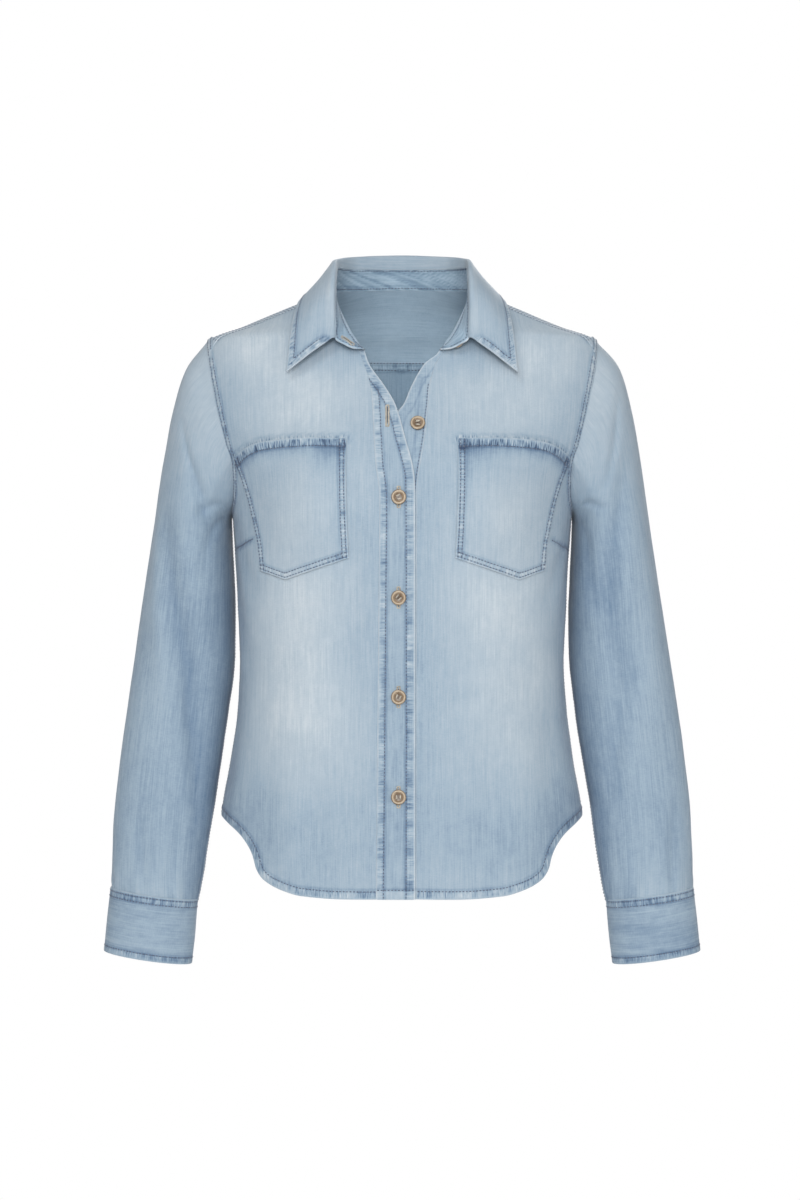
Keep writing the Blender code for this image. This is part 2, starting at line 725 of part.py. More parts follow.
def fronts(denim, shirt):
    for side, label in ((LEFT, "left"), (RIGHT, "right")):
        flip = side == RIGHT
        grid = front_grid(side)
        grid_3d = front(side, grid[..., 0], grid[..., 1])
        grid_3d[:, 0] = grid_3d[:, 0] + (side * SEAM_GAP / 2, 0, 0)
        cloth(f"front_{label}", grid_3d, PANEL, denim, shirt, flip=flip)
        grid = placket_grid(side)
        out = (BAND - PANEL) / 2
        band = front(side, grid[..., 0], grid[..., 1], out)
        band[:, -1] = band[:, -1] - (side * SEAM_GAP / 2, 0, 0)
        cloth(f"placket_{label}", band, BAND, denim, shirt, flip=flip)


def pockets(denim, shirt):
    def outline(points, steps):
        line = np.array(points, float)
        count = np.linspace(0, len(line) - 1, 8 * len(line))
        dense = np.stack([spline(range(len(line)), line[:, k], count) for k in (0, 1)], axis=1)
        return divide(dense, steps, place=lambda p: p)

    foot = np.array(POCKET_FOOT, float)
    point_at = POCKET_ACROSS * 2 // 3
    inner_foot = divide(foot[:2], point_at, place=lambda p: p)
    outer_foot = divide(foot[1:], POCKET_ACROSS - point_at, place=lambda p: p)
    foot = join(inner_foot, outer_foot)
    grid = patch(
        foot,
        outline(POCKET_TOP, POCKET_ACROSS),
        outline(POCKET_INNER, POCKET_UP),
        outline(POCKET_OUTER, POCKET_UP),
    )
    for side, label in ((LEFT, "left"), (RIGHT, "right")):
        turn = turn_at(grid[..., 0], grid[..., 1])
        out = PANEL / 2 + POCKET_GAP + POCKET / 2
        patch_pocket = front(side, turn, grid[..., 1], out)
        cloth(f"pocket_{label}", patch_pocket, POCKET, denim, shirt, flip=side == RIGHT)


def back_and_yoke(denim, shirt):
    grid = back_grid()
    panel = on_body(grid)
    panel[:, 0, 0] = 0
    panel[:, -1, 1] += SEAM_GAP
    panel[-1, :, 2] -= SEAM_GAP
    cloth("back", panel, PANEL, denim, shirt, mirrored=True)
    panel, _ = yoke_grid()
    panel[:, 0, 0] = 0
    panel[-1, BACK_NECK_COLUMNS:, 1] += SHOULDER_GAP
    cloth("yoke", panel, PANEL, denim, shirt, mirrored=True)


def sleeves(denim, shirt):
    tube, band = sleeve_grid(), cuff_grid()
    for side, label in ((LEFT, "left"), (RIGHT, "right")):
        cloth(f"sleeve_{label}", tube * (side, 1, 1), PANEL, denim, shirt, closed=True, flip=side == RIGHT)
        cloth(f"cuff_{label}", band * (side, 1, 1), BAND, denim, shirt, flip=side == LEFT)


def collar(denim, shirt):
    for name, grid in (("collar_stand", stand_grid()), ("collar_leaf", leaf_grid())):
        grid[:, -1, 0] = 0
        cloth(name, grid, BAND, denim, shirt, mirrored=True)


def front_buttons(horn, shirt):
    mesh = button_mesh()
    under = (BAND - PANEL) / 2 + BAND / 2 + SEAM_GAP
    places = [(RIGHT, BUTTON_LINE, FIRST_BUTTON_Z - i * BUTTON_PITCH) for i in range(4)]
    for i, (side, x, z) in enumerate([(LEFT, *OPEN_BUTTON), *places]):
        turn = turn_at(x, z)
        place = front(side, turn, np.array(z), under)
        button(f"button_{i + 1}", mesh, place, outward(turn, z) * (side, 1, 1), horn, shirt)


def neck_button(horn, shirt):
    """The button on the neckband's outer face, which lies open against the wearer's left front."""
    radius, share, height = NECK_BUTTON
    seam = neck_line_to_back()
    shares = shares_of(on_body(seam))
    near = [share - 0.03, share, share + 0.03]
    foot = on_body(np.stack([np.interp(near, shares, seam[:, k]) for k in (0, 1)], axis=1))
    top = collar_line("stand", np.array(near))
    middle = mix(foot, top, height)
    normal = unit(np.cross(middle[2] - middle[0], top[1] - foot[1]))
    place = middle[1] + normal * (BAND / 2 + SEAM_GAP)
    button("button_neck", button_mesh(radius), place, normal, horn, shirt)


def cuff_buttons(horn, shirt):
    radius, degrees = CUFF_BUTTON
    angle = CUFF_END - math.radians(degrees)
    centre = (ring(CUFF, 1.0, 0.0) + ring(CUFF, 1.0, math.pi)) / 2
    around = ring(CUFF, 1.0, angle + 0.05) - ring(CUFF, 1.0, angle - 0.05)
    normal = unit(np.cross(ring(CUFF, 0.5, angle) - ring(CUFF, 1.5, angle), around))
    place = ring(CUFF, 1.0, angle)
    place = place + unit(place - centre) * cuff_rise(1) + normal * (BAND / 2 + SEAM_GAP)
    for side, label in ((LEFT, "left"), (RIGHT, "right")):
        flipped = (side, 1, 1)
        button(f"button_cuff_{label}", button_mesh(radius), place * flipped, normal * flipped, horn, shirt)


def main():
    clear_scene()
    shirt = bpy.data.collections.new("denim_shirt")
    bpy.context.scene.collection.children.link(shirt)
    denim = material("denim", (0.40, 0.50, 0.60), 0.85)
    horn = material("horn", (0.36, 0.24, 0.13), 0.4)
    fronts(denim, shirt)
    pockets(denim, shirt)
    back_and_yoke(denim, shirt)
    sleeves(denim, shirt)
    collar(denim, shirt)
    front_buttons(horn, shirt)
    neck_button(horn, shirt)
    cuff_buttons(horn, shirt)


main()
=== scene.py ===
"""The looks of a denim shirt with nobody in it, set on the frame that its CAD solids were packed into.

The tables and forms are in millimetres and the scene is in metres. The origin is midway between the two
neck points and 8 mm below them, X to the wearer's left, Y to the back, Z up. Every piece of cloth is a fine
grid on the same form as its solid: folds move the whole cloth, seams raise and pucker its face, and
wash says how far the indigo has faded, from 0 to 1, with painted shade and painted highlight
mixed into it: shade in creases, stitch grooves and beside seams, at the torso's sides, under the collar and
along the sleeves' inner sides, and highlight on ridges and on the lit side of the sleeves.
"""

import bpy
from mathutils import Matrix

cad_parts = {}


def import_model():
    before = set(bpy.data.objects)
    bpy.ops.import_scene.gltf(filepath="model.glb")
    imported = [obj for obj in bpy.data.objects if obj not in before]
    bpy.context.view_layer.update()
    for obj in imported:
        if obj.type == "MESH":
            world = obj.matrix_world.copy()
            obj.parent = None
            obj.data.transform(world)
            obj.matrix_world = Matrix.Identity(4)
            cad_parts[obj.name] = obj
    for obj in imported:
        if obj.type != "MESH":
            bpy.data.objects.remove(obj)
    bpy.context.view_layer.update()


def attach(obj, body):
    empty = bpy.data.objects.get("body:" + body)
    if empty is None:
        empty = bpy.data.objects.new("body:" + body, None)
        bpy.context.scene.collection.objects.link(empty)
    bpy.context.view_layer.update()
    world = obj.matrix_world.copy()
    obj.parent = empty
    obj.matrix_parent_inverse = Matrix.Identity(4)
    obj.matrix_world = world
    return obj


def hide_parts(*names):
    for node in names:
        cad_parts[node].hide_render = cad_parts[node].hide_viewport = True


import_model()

import itertools
import math
from collections import namedtuple

import bpy
import numpy as np
from mathutils import Matrix, Vector
from mathutils.bvhtree import BVHTree


def rows_of(kind, *rows):
    """A table: one named tuple of that kind for each row."""
    return [kind(*row) for row in rows]


MM = 0.001
LEFT, RIGHT = 1, -1  # the wearer's sides, as the sign of X
SIDES = ((LEFT, "left"), (RIGHT, "right"))

# Cloth
PANEL = 1.3  # wall of a single ply
BAND = 2.0  # wall of plackets, cuffs and collar
POCKET = 1.1
LAYER_GAP = 0.5  # between cloth that lies on cloth

# Buttons
BUTTON_RADIUS = 7.2
BUTTON_THICK = 3.0
BUTTON_PITCH = 95.6
FIRST_BUTTON_Z = -201.8
BUTTON_HEIGHTS = [FIRST_BUTTON_Z - i * BUTTON_PITCH for i in range(4)]  # of the ones done up
OPEN_BUTTON = (15.0, -131.5)  # x and z of the one left undone
BUTTON_LINE = 3.4  # from the centre front, towards the wearer's right
NECK_BUTTON_RADIUS, CUFF_BUTTON_RADIUS = 5.4, 6.4
NECK_BUTTON = (0.085, 0.66)  # its share of the collar from its end, and of the stand's height

# How finely the cloth is divided: steps along each seam
ACROSS = 84  # of half a panel, from the centre to the side
FRONT_NECK_ROWS = 36
BACK_ARM_STEPS = 72
BACK_NECK_STEPS = 34
PLACKET_STEPS = 22
ARMHOLE_STEPS = (54, 40, 38)  # down its front, up its back below the yoke, and over the yoke
STAND_ROWS = 14
POCKET_ACROSS = 100
# and where the steps are drawn together at an end, also about how long the seam is
PANEL_WIDTH, YOKE_REST_BACK, YOKE_REST_TOP = 160, 105, 125
BORDER = (200, 530)
SIDE = (136, 300)
FRONT_ARM = (100, 190)
YOKE_DEPTH = (52, 120)
SLEEVE_RUN = (230, 560)
CUFF_HEIGHT, CUFF_ROUND = (34, 62), (150, 250)
STAND_ALONG = (92, 230)
LEAF_DEPTH, LEAF_ALONG = (46, 75), (96, 210)
POCKET_UP = (84, 120)
FINE_REACH = 9.0  # near its fine ends a line's steps are drawn together over this length
FINE_SHARE = 2.2
SPREAD_FINE = 2000
HEM_REACH = 0.55  # the hem's curve bends the rows over this share of them
HEM_CROWD = 0.8  # below 1, the points of the hem's line crowd towards the side
FINE = 90  # points in a seam line before it is divided

Section = namedtuple("Section", "z half_width front back roundness")
BODY = rows_of(
    Section,
    (-600, 181, 119, 106, 2.35),
    (-515, 179, 116, 101, 2.35),  # top of the side hem
    (-460, 170, 112, 93, 2.3),
    (-410, 163, 110, 86, 2.3),
    (-366, 161, 109, 82, 2.3),  # waist
    (-300, 164, 112, 86, 2.3),
    (-250, 166.5, 115, 92, 2.3),
    (-212, 169, 117, 97, 2.3),  # armpit
    (-180, 176.5, 116.5, 100, 2.3),
    (-150, 189, 112, 102, 2.3),
    (-110, 201, 98, 101, 2.25),
    (-80, 203, 86, 97.5, 2.2),
    (-58, 200, 78, 93, 2.2),
    (-41.5, 193.5, 72, 89, 2.15),  # shoulder point
    (-29.5, 162, 66, 84, 2.1),
    (-11, 118, 57, 76.5, 2.1),
    (8, 74, 46, 66, 2.1),  # where neck and shoulder meet
    (20, 60, 38, 58, 2.1),
)
SHOULDER_Z, ARMPIT_Z, NECK_Z = -41.5, -212, 8
SHOULDER_HEIGHTS, HALVINGS = (-100.0, 20.0), 30  # where the shoulders' surface is looked for, and how finely
BACK_NECK_Z = 16.5
NECK_EASE = 0.5  # the back neckline leaves the neck point level within this turn
YOKE_Z = -56.0
YOKE_FRONT_Y = -28.0  # the shoulder seam lies this far in front of the ridge
CENTRE_BACK = 0.01  # x of the back's middle, a hair to the wearer's left
UNDER_NECK_X = 92.0  # the yoke's facets inside this width end at the neck

Bust = namedtuple("Bust", "x z rise across above below")
BUST = Bust(x=80, z=-198, rise=9, across=46, above=60, below=75)

Hem = namedtuple("Hem", "x z")
HEM = rows_of(
    Hem,
    (0, -585),
    (57, -586),
    (96, -584),
    (116, -579),
    (134, -570),
    (141.5, -560),
    (144.5, -549),
    (150, -538),
    (159, -527),
    (171, -518),
    (179, -513),
)

# Where the plackets' borders and free edges are, each from the centre outwards
Opening = namedtuple("Opening", "z upper_border upper_edge under_border under_edge")
OPENING = rows_of(
    Opening,
    (-600, 24.5, -12, 13.5, -20),
    (-330, 22, -12, 13.5, -20),
    (-200, 21, -12, 13.5, -20),
    (-185, 22.5, -11.5, 14.5, -19),
    (-171, 24.5, -9.5, 16.5, -16.5),
    (-148, 26, -3.2, 20.5, -11.5),
    (-120, 27.5, 4.6, 23.7, -4.2),
    (-112, 28, 7.4, 24.5, 1.9),
    (-95, 30, 16.7, 26, 8.8),
    (-71, 37, 32.2, 30.5, 20.2),
    (-62, 40, 35.4, 35.5, 31),
    (-50, 44, 38, 41, 38),
)
PLACKET_FOOT_X = 20  # where the hem gives the height of the plackets' foot
NECKWARD_Z = -100  # above this they turn to meet the neckline
LAP_TOP = (-118.0, -70.0)  # the upper front lies on the lower one below these heights
LAP_FADE = (18.0, 52.0)

Neck = namedtuple("Neck", "z x")
NECK = rows_of(
    Neck,
    (-58, 36.5),  # the end of the collar
    (-50, 44),
    (-40, 51),
    (-28, 57),
    (-17, 62),
    (-3, 67.5),
    (8, 74),
)

Armhole = namedtuple("Armhole", "z front back")
ARMHOLE = rows_of(
    Armhole,
    (-212, 169, 169),
    (-200, 166, 170),
    (-185, 165, 172),
    (-166, 166, 174.5),
    (-150, 171, 177),
    (-114, 180.5, 182),
    (-73, 189, 188.5),
    (-55, 192, 191.5),
    (-46, 193.3, 193),
    (-41.5, 193.5, 193.5),
)

Cuffward = namedtuple("Cuffward", "outer_x outer_z inner_x inner_z front back")
SLEEVE = rows_of(
    Cuffward,
    (193.5, -41.5, 169, -212, -54, 49),
    (216, -70, 170.5, -215, -57, 53),
    (229, -114, 171.5, -218, -58, 58),
    (239.5, -172, 171.5, -223, -56, 63),
    (248, -228, 171, -240, -51, 67),
    (259, -298, 168, -305, -42, 62),
    (267, -350, 168.5, -354, -35, 54),
    (275, -406, 175, -410, -33, 46),
    (282.5, -464, 183.5, -470, -34, 38),
    (288, -524, 193, -532, -37, 31),
    (289.5, -585, 203.5, -597, -40, 24),
)
SLEEVE_CLEAR = 1.5  # between the middles of the sleeve's wall and the body's
CLEAR_FROM_Z = ARMPIT_Z + 24
CAP_ROWS = 4.0  # the sleeve keeps something of the armhole's shape down to this row
CUFF = rows_of(
    Cuffward,
    (290, -586, 203.5, -598, -41, 24.5),
    (293.5, -617, 206, -629.5, -41.5, 22.5),
    (296.5, -648, 209.5, -661, -42, 20.5),
)
CUFF_OUT = 0.8  # the cuff's face stands proud of the sleeve sewn into it
CUFF_END = math.radians(300)  # where the upper end of the cuff stops, from the outer side by the front
CUFF_LAP = math.radians(48)
CUFF_BUTTON = CUFF_END - math.radians(13)  # the angle of its button
CUFF_STEP = (0.80, 0.90)  # the shares of its length over which it steps up onto itself
CUFF_FULLNESS, FULLEST, FULL_REACH = 0.5, 0.955, 0.03  # the sleeve swells above its cuff
CUFF_PLEATS = 5
CUFF_PINCH, CUFF_PINCHED = 0.4, (0.988, 1.0)  # and is caught in over these shares of its length
CUFF_TUCK, ARMHOLE_TUCK = 3.0, 2.2  # how far its ends run on under the cuff and the armhole's seam
ARMHOLE_ROWS = 6  # the rows that show which way it leaves the armhole

# Soft folds of the sleeves, by side. Turns are angles round the sleeve from its outer side by the front, and
# shares run from armhole to cuff. A fold of less than no depth is a ridge.
Fold = namedtuple("Fold", "turn_0 share_0 turn_1 share_1 width depth")
SLEEVE_FOLDS = {
    RIGHT: rows_of(
        Fold,
        (1.00, 0.40, 2.10, 0.76, 0.30, 5.5),
        (1.60, 0.56, 2.35, 0.86, 0.20, 3.0),
        (0.85, 0.17, 1.75, 0.27, 0.20, 2.2),
        (1.45, 0.22, 2.05, 0.37, 0.26, 3.6),
        (0.45, 0.34, 1.30, 0.66, 0.24, -2.2),
        (2.30, 0.24, 1.75, 0.36, 0.13, 2.2),
        (2.55, 0.30, 1.95, 0.45, 0.14, 1.8),
        (1.15, 0.88, 1.35, 0.99, 0.16, 1.6),
        (1.95, 0.90, 1.85, 1.00, 0.13, 1.4),
        (4.30, 0.30, 4.75, 0.62, 0.24, 4.5),
        (5.35, 0.45, 4.95, 0.78, 0.22, 3.5),
        (3.90, 0.18, 4.60, 0.30, 0.20, 3.0),
        (5.10, 0.62, 4.45, 0.90, 0.16, 2.6),
    ),
    LEFT: rows_of(
        Fold,
        (1.20, 0.26, 1.80, 0.50, 0.30, 5.0),
        (1.75, 0.46, 1.50, 0.66, 0.30, 4.6),
        (1.45, 0.62, 2.15, 0.82, 0.22, 3.2),
        (0.75, 0.12, 1.60, 0.25, 0.20, 2.4),
        (0.75, 0.38, 0.95, 0.70, 0.26, -2.0),
        (2.35, 0.23, 1.80, 0.33, 0.12, 2.4),
        (2.50, 0.34, 2.10, 0.52, 0.15, 1.7),
        (0.90, 0.87, 1.10, 0.99, 0.14, 1.7),
        (1.75, 0.91, 1.95, 1.00, 0.14, 1.3),
        (4.55, 0.24, 4.20, 0.50, 0.22, 4.2),
        (4.90, 0.46, 5.30, 0.76, 0.24, 3.8),
        (4.15, 0.66, 4.80, 0.92, 0.17, 2.4),
    ),
}
FOLD_FADE = 1.5  # a fold has died out where it is 1 / FOLD_FADE of its length from its middle

# The pocket's edges, as places (x, z)
POCKET_TOP = [(52.5, -146), (95, -146), (130, -147.5), (150, -153), (163, -162)]
POCKET_OUTER = [(136.5, -271), (138.5, -250), (143, -227), (150, -198), (163, -162)]
POCKET_FOOT = [(50, -259.5), (111, -280), (136.5, -271)]
POCKET_INNER = [(50, -259.5), (52.5, -146)]

# The collar, from its front end to the centre back: where each line passes.
Collar = namedtuple("Collar", "share stand roll fall edge")
COLLAR = rows_of(
    Collar,
    (0.000, (37.5, -83, -57), None, None, None),
    (0.035, (46, -85, -56.5), None, None, None),
    (0.085, (56, -87, -52.5), None, None, None),
    (0.145, (64.5, -87, -46), (66.5, -89.5, -46), (88, -91, -61), (111.5, -89, -79)),
    (0.245, (65, -76, -4), (66.5, -80, -1), (86, -81, -20), (108, -79, -45)),
    (0.341, (64.5, -54, 19), (66, -59, 24), (84, -60, 4), (104.5, -59, -19)),
    (0.438, (64.5, -30, 28), (66, -33, 35), (81.5, -33, 16), (100.5, -31, -4)),
    (0.550, (64.5, 0, 33), (66, -1, 40), (79.5, 4, 22), (97.5, 8, 2)),
    (0.662, (58, 23, 35), (60.5, 25, 44.5), (73.5, 37, 25), (88.5, 43, 1)),
    (0.775, (44, 42, 36.5), (46, 46, 48.5), (56, 60, 28), (65.5, 69, 0)),
    (1.000, (0, 57, 38), (0, 61.5, 52), (0, 73, 29), (0, 81, 0)),
)
LEAF_START = 0.145
STAND_ROOT = (2.8, 1.9)  # how far off the neck seam the stand starts, where it lies open and where it stands
STAND_RISES = (0.15, 0.45)  # the shares between which it changes from one to the other
LEAF_TURN = ((0.10, 1.0), (0.32, 0.4))  # between roll and fall: the share of the way, and the rise above it
STAND_SINK, LEAF_SINK = 0.2, 0.8  # how deep the stand and the leaf are set into what they are sewn to


def spline(xs, ys, at):
    """A smooth curve through the points that doesn't overshoot them, read at each value of at."""
    xs, ys = np.asarray(xs, float), np.asarray(ys, float)
    at = np.clip(at, xs[0], xs[-1])
    step = np.diff(xs)
    slope = np.diff(ys) / step
    turning = slope[1:] * slope[:-1] <= 0
    total = np.where(turning, 1.0, slope[1:] + slope[:-1])
    inner = np.where(turning, 0.0, 2 * slope[1:] * slope[:-1] / total)
    tangent = np.concatenate([slope[:1], inner, slope[-1:]])
    i = np.clip(np.searchsorted(xs, at, side="right") - 1, 0, len(step) - 1)
    t = (at - xs[i]) / step[i]
    rise = t * t * (3 - 2 * t)
    return (
        ys[i] * (1 - rise)
        + ys[i + 1] * rise
        + step[i] * (tangent[i] * t * (1 - t) ** 2 - tangent[i + 1] * t * t * (1 - t))
    )


def column(rows, name):
    return [getattr(row, name) for row in rows]


def read(rows, key, name, at):
    return spline(column(rows, key), column(rows, name), at)


def section(z, behind):
    """The body's half width, depth and roundness at height z, with the back's depth where it is behind."""
    wide, ahead, back, roundness = (read(BODY, "z", name, z) for name in Section._fields[1:])
    return wide, np.where(behind, back, ahead), roundness


def ramp(x, start, end):
    """0 before start, 1 after end, smooth between."""
    t = np.clip((x - start) / (end - start), 0, 1)
    return t * t * (3 - 2 * t)


def mix(a, b, t):
    return a * (1 - t) + b * t


def near(gap, width):
    """1 where the gap is none, falling off over that width."""
    return np.exp(-((gap / width) ** 2))


def dying_out(along):
    """How much of a fold's depth is left at each share of its length."""
    return np.clip(1 - (FOLD_FADE * (along - 0.5)) ** 2, 0, 1)


def unit(vectors):
    return vectors / np.linalg.norm(vectors, axis=-1, keepdims=True)


# The body's form


def body(turn, z):
    """Points of the body at those turns and heights."""
    turn, z = np.broadcast_arrays(np.asarray(turn, float), np.asarray(z, float))
    sine, cosine = np.sin(turn), np.cos(turn)
    wide, deep, n = section(z, cosine <= 0)
    reach = ((abs(sine) / wide) ** n + (abs(cosine) / deep) ** n) ** (-1 / n)
    fall = np.where(z > BUST.z, BUST.above, BUST.below)
    swell = near(abs(reach * sine) - BUST.x, BUST.across) * near(z - BUST.z, fall)
    out = reach + BUST.rise * swell * np.clip(cosine, 0, 1)
    return np.stack([out * sine, -out * cosine, z], axis=-1)


def outward(turn, z):
    """The body's unit normals there."""
    small = 1e-3
    along = body(turn + small, z) - body(turn - small, z)
    up = body(turn, z + small) - body(turn, z - small)
    return unit(np.cross(along, up))


def turn_at(x, z, back=False):
    """The turn at which the section at height z is x wide of the centre."""
    wide, deep, n = section(z, back)
    y = deep * np.clip(1 - (np.clip(abs(x) / wide, 0, 1)) ** n, 0, 1) ** (1 / n)
    return np.arctan2(x, -y if back else y)


def height_at(x, y):
    """The height at which the shoulders' surface passes over the point (x, y)."""
    low, high = (np.full(np.shape(x), end) for end in SHOULDER_HEIGHTS)
    for _ in range(HALVINGS):
        z = (low + high) / 2
        wide, deep, n = section(z, y >= 0)
        inside = (abs(x) / wide) ** n + (abs(y) / deep) ** n < 1
        low, high = np.where(inside, z, low), np.where(inside, high, z)
    return (low + high) / 2


def lap(side, across, z):
    """How far the wearer's right front is lifted by the left front that it lies on."""
    lapped = (1 - ramp(across, *LAP_FADE)) * (1 - ramp(z, *LAP_TOP))
    return (BAND + LAYER_GAP) * lapped * (side == RIGHT)


def hung(side, turn, z, out=0.0):
    """Points of the draped cloth on one side, that far out from its middle. Turn counts towards that side."""
    away = np.asarray(out + drape(side * turn, z))
    return (body(turn, z) + outward(turn, z) * away[..., None]) * (side, 1, 1)


def front(side, turn, z, out=0.0):
    """Points of one front, hung and lapped."""
    return hung(side, turn, z, out + lap(side, body(turn, z)[..., 0], z))


# Seam lines, as arrays of (turn, z) for the wearer's left


def line_of(turn, z):
    return np.stack(np.broadcast_arrays(turn, z), axis=-1)


def line_at(x, z, back=False):
    """The line on the front, or the back, that is x from the centre at height z."""
    return line_of(turn_at(x, z, back), z)


def hem_line(start, back=False):
    """The hem from x = start out to the side seam."""
    x = mix(start, HEM[-1].x, np.linspace(0, 1, FINE) ** HEM_CROWD)
    z = read(HEM, "x", "z", x)
    line = line_at(x, z, back)
    line[-1, 0] = math.pi / 2
    return line


def placket_x(side, z, name):
    return read(OPENING, "z", f"{'under' if side == LEFT else 'upper'}_{name}", z)


def neck_line(z_start, z_end):
    """The front neckline between two heights."""
    z = np.linspace(z_start, z_end, FINE)
    return line_at(read(NECK, "z", "x", z), z)


def border_line(side, name):
    """A placket's border or free edge, from hem to neck."""
    top = NECK[1] if name == "border" else NECK[0]
    foot = read(HEM, "x", "z", PLACKET_FOOT_X)
    z = np.linspace(foot, top.z, 4 * FINE)
    x = placket_x(side, z, name)
    return line_at(x + (top.x - x[-1]) * ramp(z, NECKWARD_Z, top.z), z)


def arm_line(name, z_start, z_end):
    """One side of the armhole between two heights, crowded towards the armpit."""
    t = np.linspace(0, 1, FINE)
    root = mix(math.sqrt(z_start - ARMPIT_Z), math.sqrt(z_end - ARMPIT_Z), t)
    z = ARMPIT_Z + root**2
    line = line_at(read(ARMHOLE, "z", name, z), z, back=name == "back")
    line[(z <= ARMPIT_Z + 1e-6) | (abs(z - SHOULDER_Z) < 1e-6), 0] = math.pi / 2
    return line


def side_line():
    return line_of(math.pi / 2, np.linspace(HEM[-1].z, ARMPIT_Z, FINE))


def on_body(line):
    return body(line[..., 0], line[..., 1])


def spread(size, *fine):
    """Shares of a line where its steps end, drawn together near its "start", its "end" or both.

    Its size is how many steps it has and about how long it is.
    """
    steps, length = size
    t = np.linspace(0, 1, SPREAD_FINE)
    density = np.ones(len(t))
    for end in fine:
        away = t if end == "start" else 1 - t
        density = density + FINE_SHARE * np.exp(-away * length / FINE_REACH)
    total = np.append(0, np.cumsum((density[1:] + density[:-1]) / 2))
    return np.interp(even(steps), total / total[-1], t)


def travelled(points):
    """How far along a line each of its points is."""
    return np.append(0, np.linalg.norm(np.diff(points, axis=0), axis=-1).cumsum())


def shares_of(points):
    return travelled(points) / travelled(points)[-1]


def read_line(line, lengths, at):
    """Places on a line at those lengths along it."""
    return np.stack([np.interp(at, lengths, line[:, k]) for k in range(line.shape[1])], axis=1)


def divide(line, shares, place=on_body):
    """The line again, as points at those shares of its length, measured between the places it stands for."""
    lengths = travelled(place(line))
    return read_line(line, lengths, lengths[-1] * shares)


def as_it_is(line):
    return line


def join(*lines):
    """Lines end to end, with the shared points kept once."""
    return np.concatenate([lines[0]] + [line[1:] for line in lines[1:]])


def patch(bottom, top, start, end, across=None, reach=1.0):
    """A grid of places between four seam lines. Rows run from start to end, and the first row is bottom.

    The shape of the first row is felt over that share of the rows.
    """
    across = np.linspace(0, 1, len(bottom)) if across is None else across
    s = across[None, :, None]
    t = np.linspace(0, 1, len(start))[:, None, None]
    t = t if reach == 1.0 else ramp(t, 0, reach)
    sides = mix(start[:, None], end[:, None], s)
    ends = mix(bottom[None], top[None], t)
    corners = mix(mix(bottom[0], bottom[-1], s), mix(top[0], top[-1], s), t)
    return sides + ends - corners


# The panels' grids


def shoulder_seam_ends():
    """Where the front shoulder seam meets the neckline and the armhole, as heights."""
    ends = []
    neck, arm = (NECK, "x", NECK_Z, NECK[0].z), (ARMHOLE, "front", SHOULDER_Z, ARMPIT_Z / 2)
    for rows, name, top, foot in (neck, arm):
        z = np.linspace(top, foot, 4 * FINE)
        y = on_body(line_at(read(rows, "z", name, z), z))[:, 1]
        ends.append(float(np.interp(-YOKE_FRONT_Y, -y, z)))
    return ends


def shoulder_line():
    """The front shoulder seam from neck to armhole."""
    neck_z, arm_z = shoulder_seam_ends()
    x = np.linspace(read(NECK, "z", "x", neck_z), read(ARMHOLE, "z", "front", arm_z), FINE)
    z = height_at(x, np.full(FINE, YOKE_FRONT_Y))
    z[0], z[-1] = neck_z, arm_z
    return line_of(np.arctan2(x, -YOKE_FRONT_Y), z)


def even(steps):
    return np.linspace(0, 1, steps + 1)


def front_grid(side):
    neck_z, arm_z = shoulder_seam_ends()
    border = divide(border_line(side, "border"), spread(BORDER, "start"))
    start = join(border, divide(neck_line(NECK[1].z, neck_z), even(FRONT_NECK_ROWS)))
    side_part = divide(side_line(), spread(SIDE, "start"))
    end = join(side_part, divide(arm_line("front", ARMPIT_Z, arm_z), spread(FRONT_ARM, "end")))
    foot_x = float(placket_x(side, border[0, 1], "border"))
    across = spread((ACROSS, PANEL_WIDTH), "start", "end")
    hem, shoulder = divide(hem_line(foot_x), across), divide(shoulder_line(), across)
    return patch(hem, shoulder, start, end, across, HEM_REACH)


def placket_grid(side):
    rows = spread(BORDER, "start")
    border, edge = (divide(border_line(side, name), rows) for name in ("border", "edge"))
    across = even(PLACKET_STEPS)
    bottom = mix(edge[0], border[0], across[:, None])
    return patch(bottom, divide(neck_line(NECK[0].z, NECK[1].z), across), edge, border)


def back_neck_line():
    """The neckline from the shoulder seam over the neck point round to the centre back."""
    neck_z, _ = shoulder_seam_ends()
    ahead = neck_line(neck_z, NECK_Z)
    turn = np.linspace(math.pi / 2, math.pi, FINE)
    z = mix(NECK_Z, BACK_NECK_Z, ramp(turn, math.pi / 2 - NECK_EASE - 0.1, math.pi))
    z = z - (z[0] - NECK_Z) * (1 - ramp(turn, math.pi / 2, math.pi / 2 + NECK_EASE))
    return join(ahead, line_of(turn, z))


def plan(line):
    """(turn, z) places as (x, y)."""
    return on_body(line)[..., :2]


YOKE_END_X = float(read(ARMHOLE, "z", "back", YOKE_Z))


def yoke_stretch(shares, start=0, end=YOKE_END_X):
    """The yoke's seam across the back between two distances from the centre, as far as the armhole."""
    return divide(line_at(np.linspace(start, end, FINE), YOKE_Z, back=True), shares)


def yoke_seam():
    """The yoke's whole seam on one side, divided below the neck and beyond it."""
    below_neck = yoke_stretch(even(BACK_NECK_STEPS), end=UNDER_NECK_X)
    shares = spread((ACROSS - BACK_NECK_STEPS, YOKE_REST_BACK), "end")
    return join(below_neck, yoke_stretch(shares, start=UNDER_NECK_X))


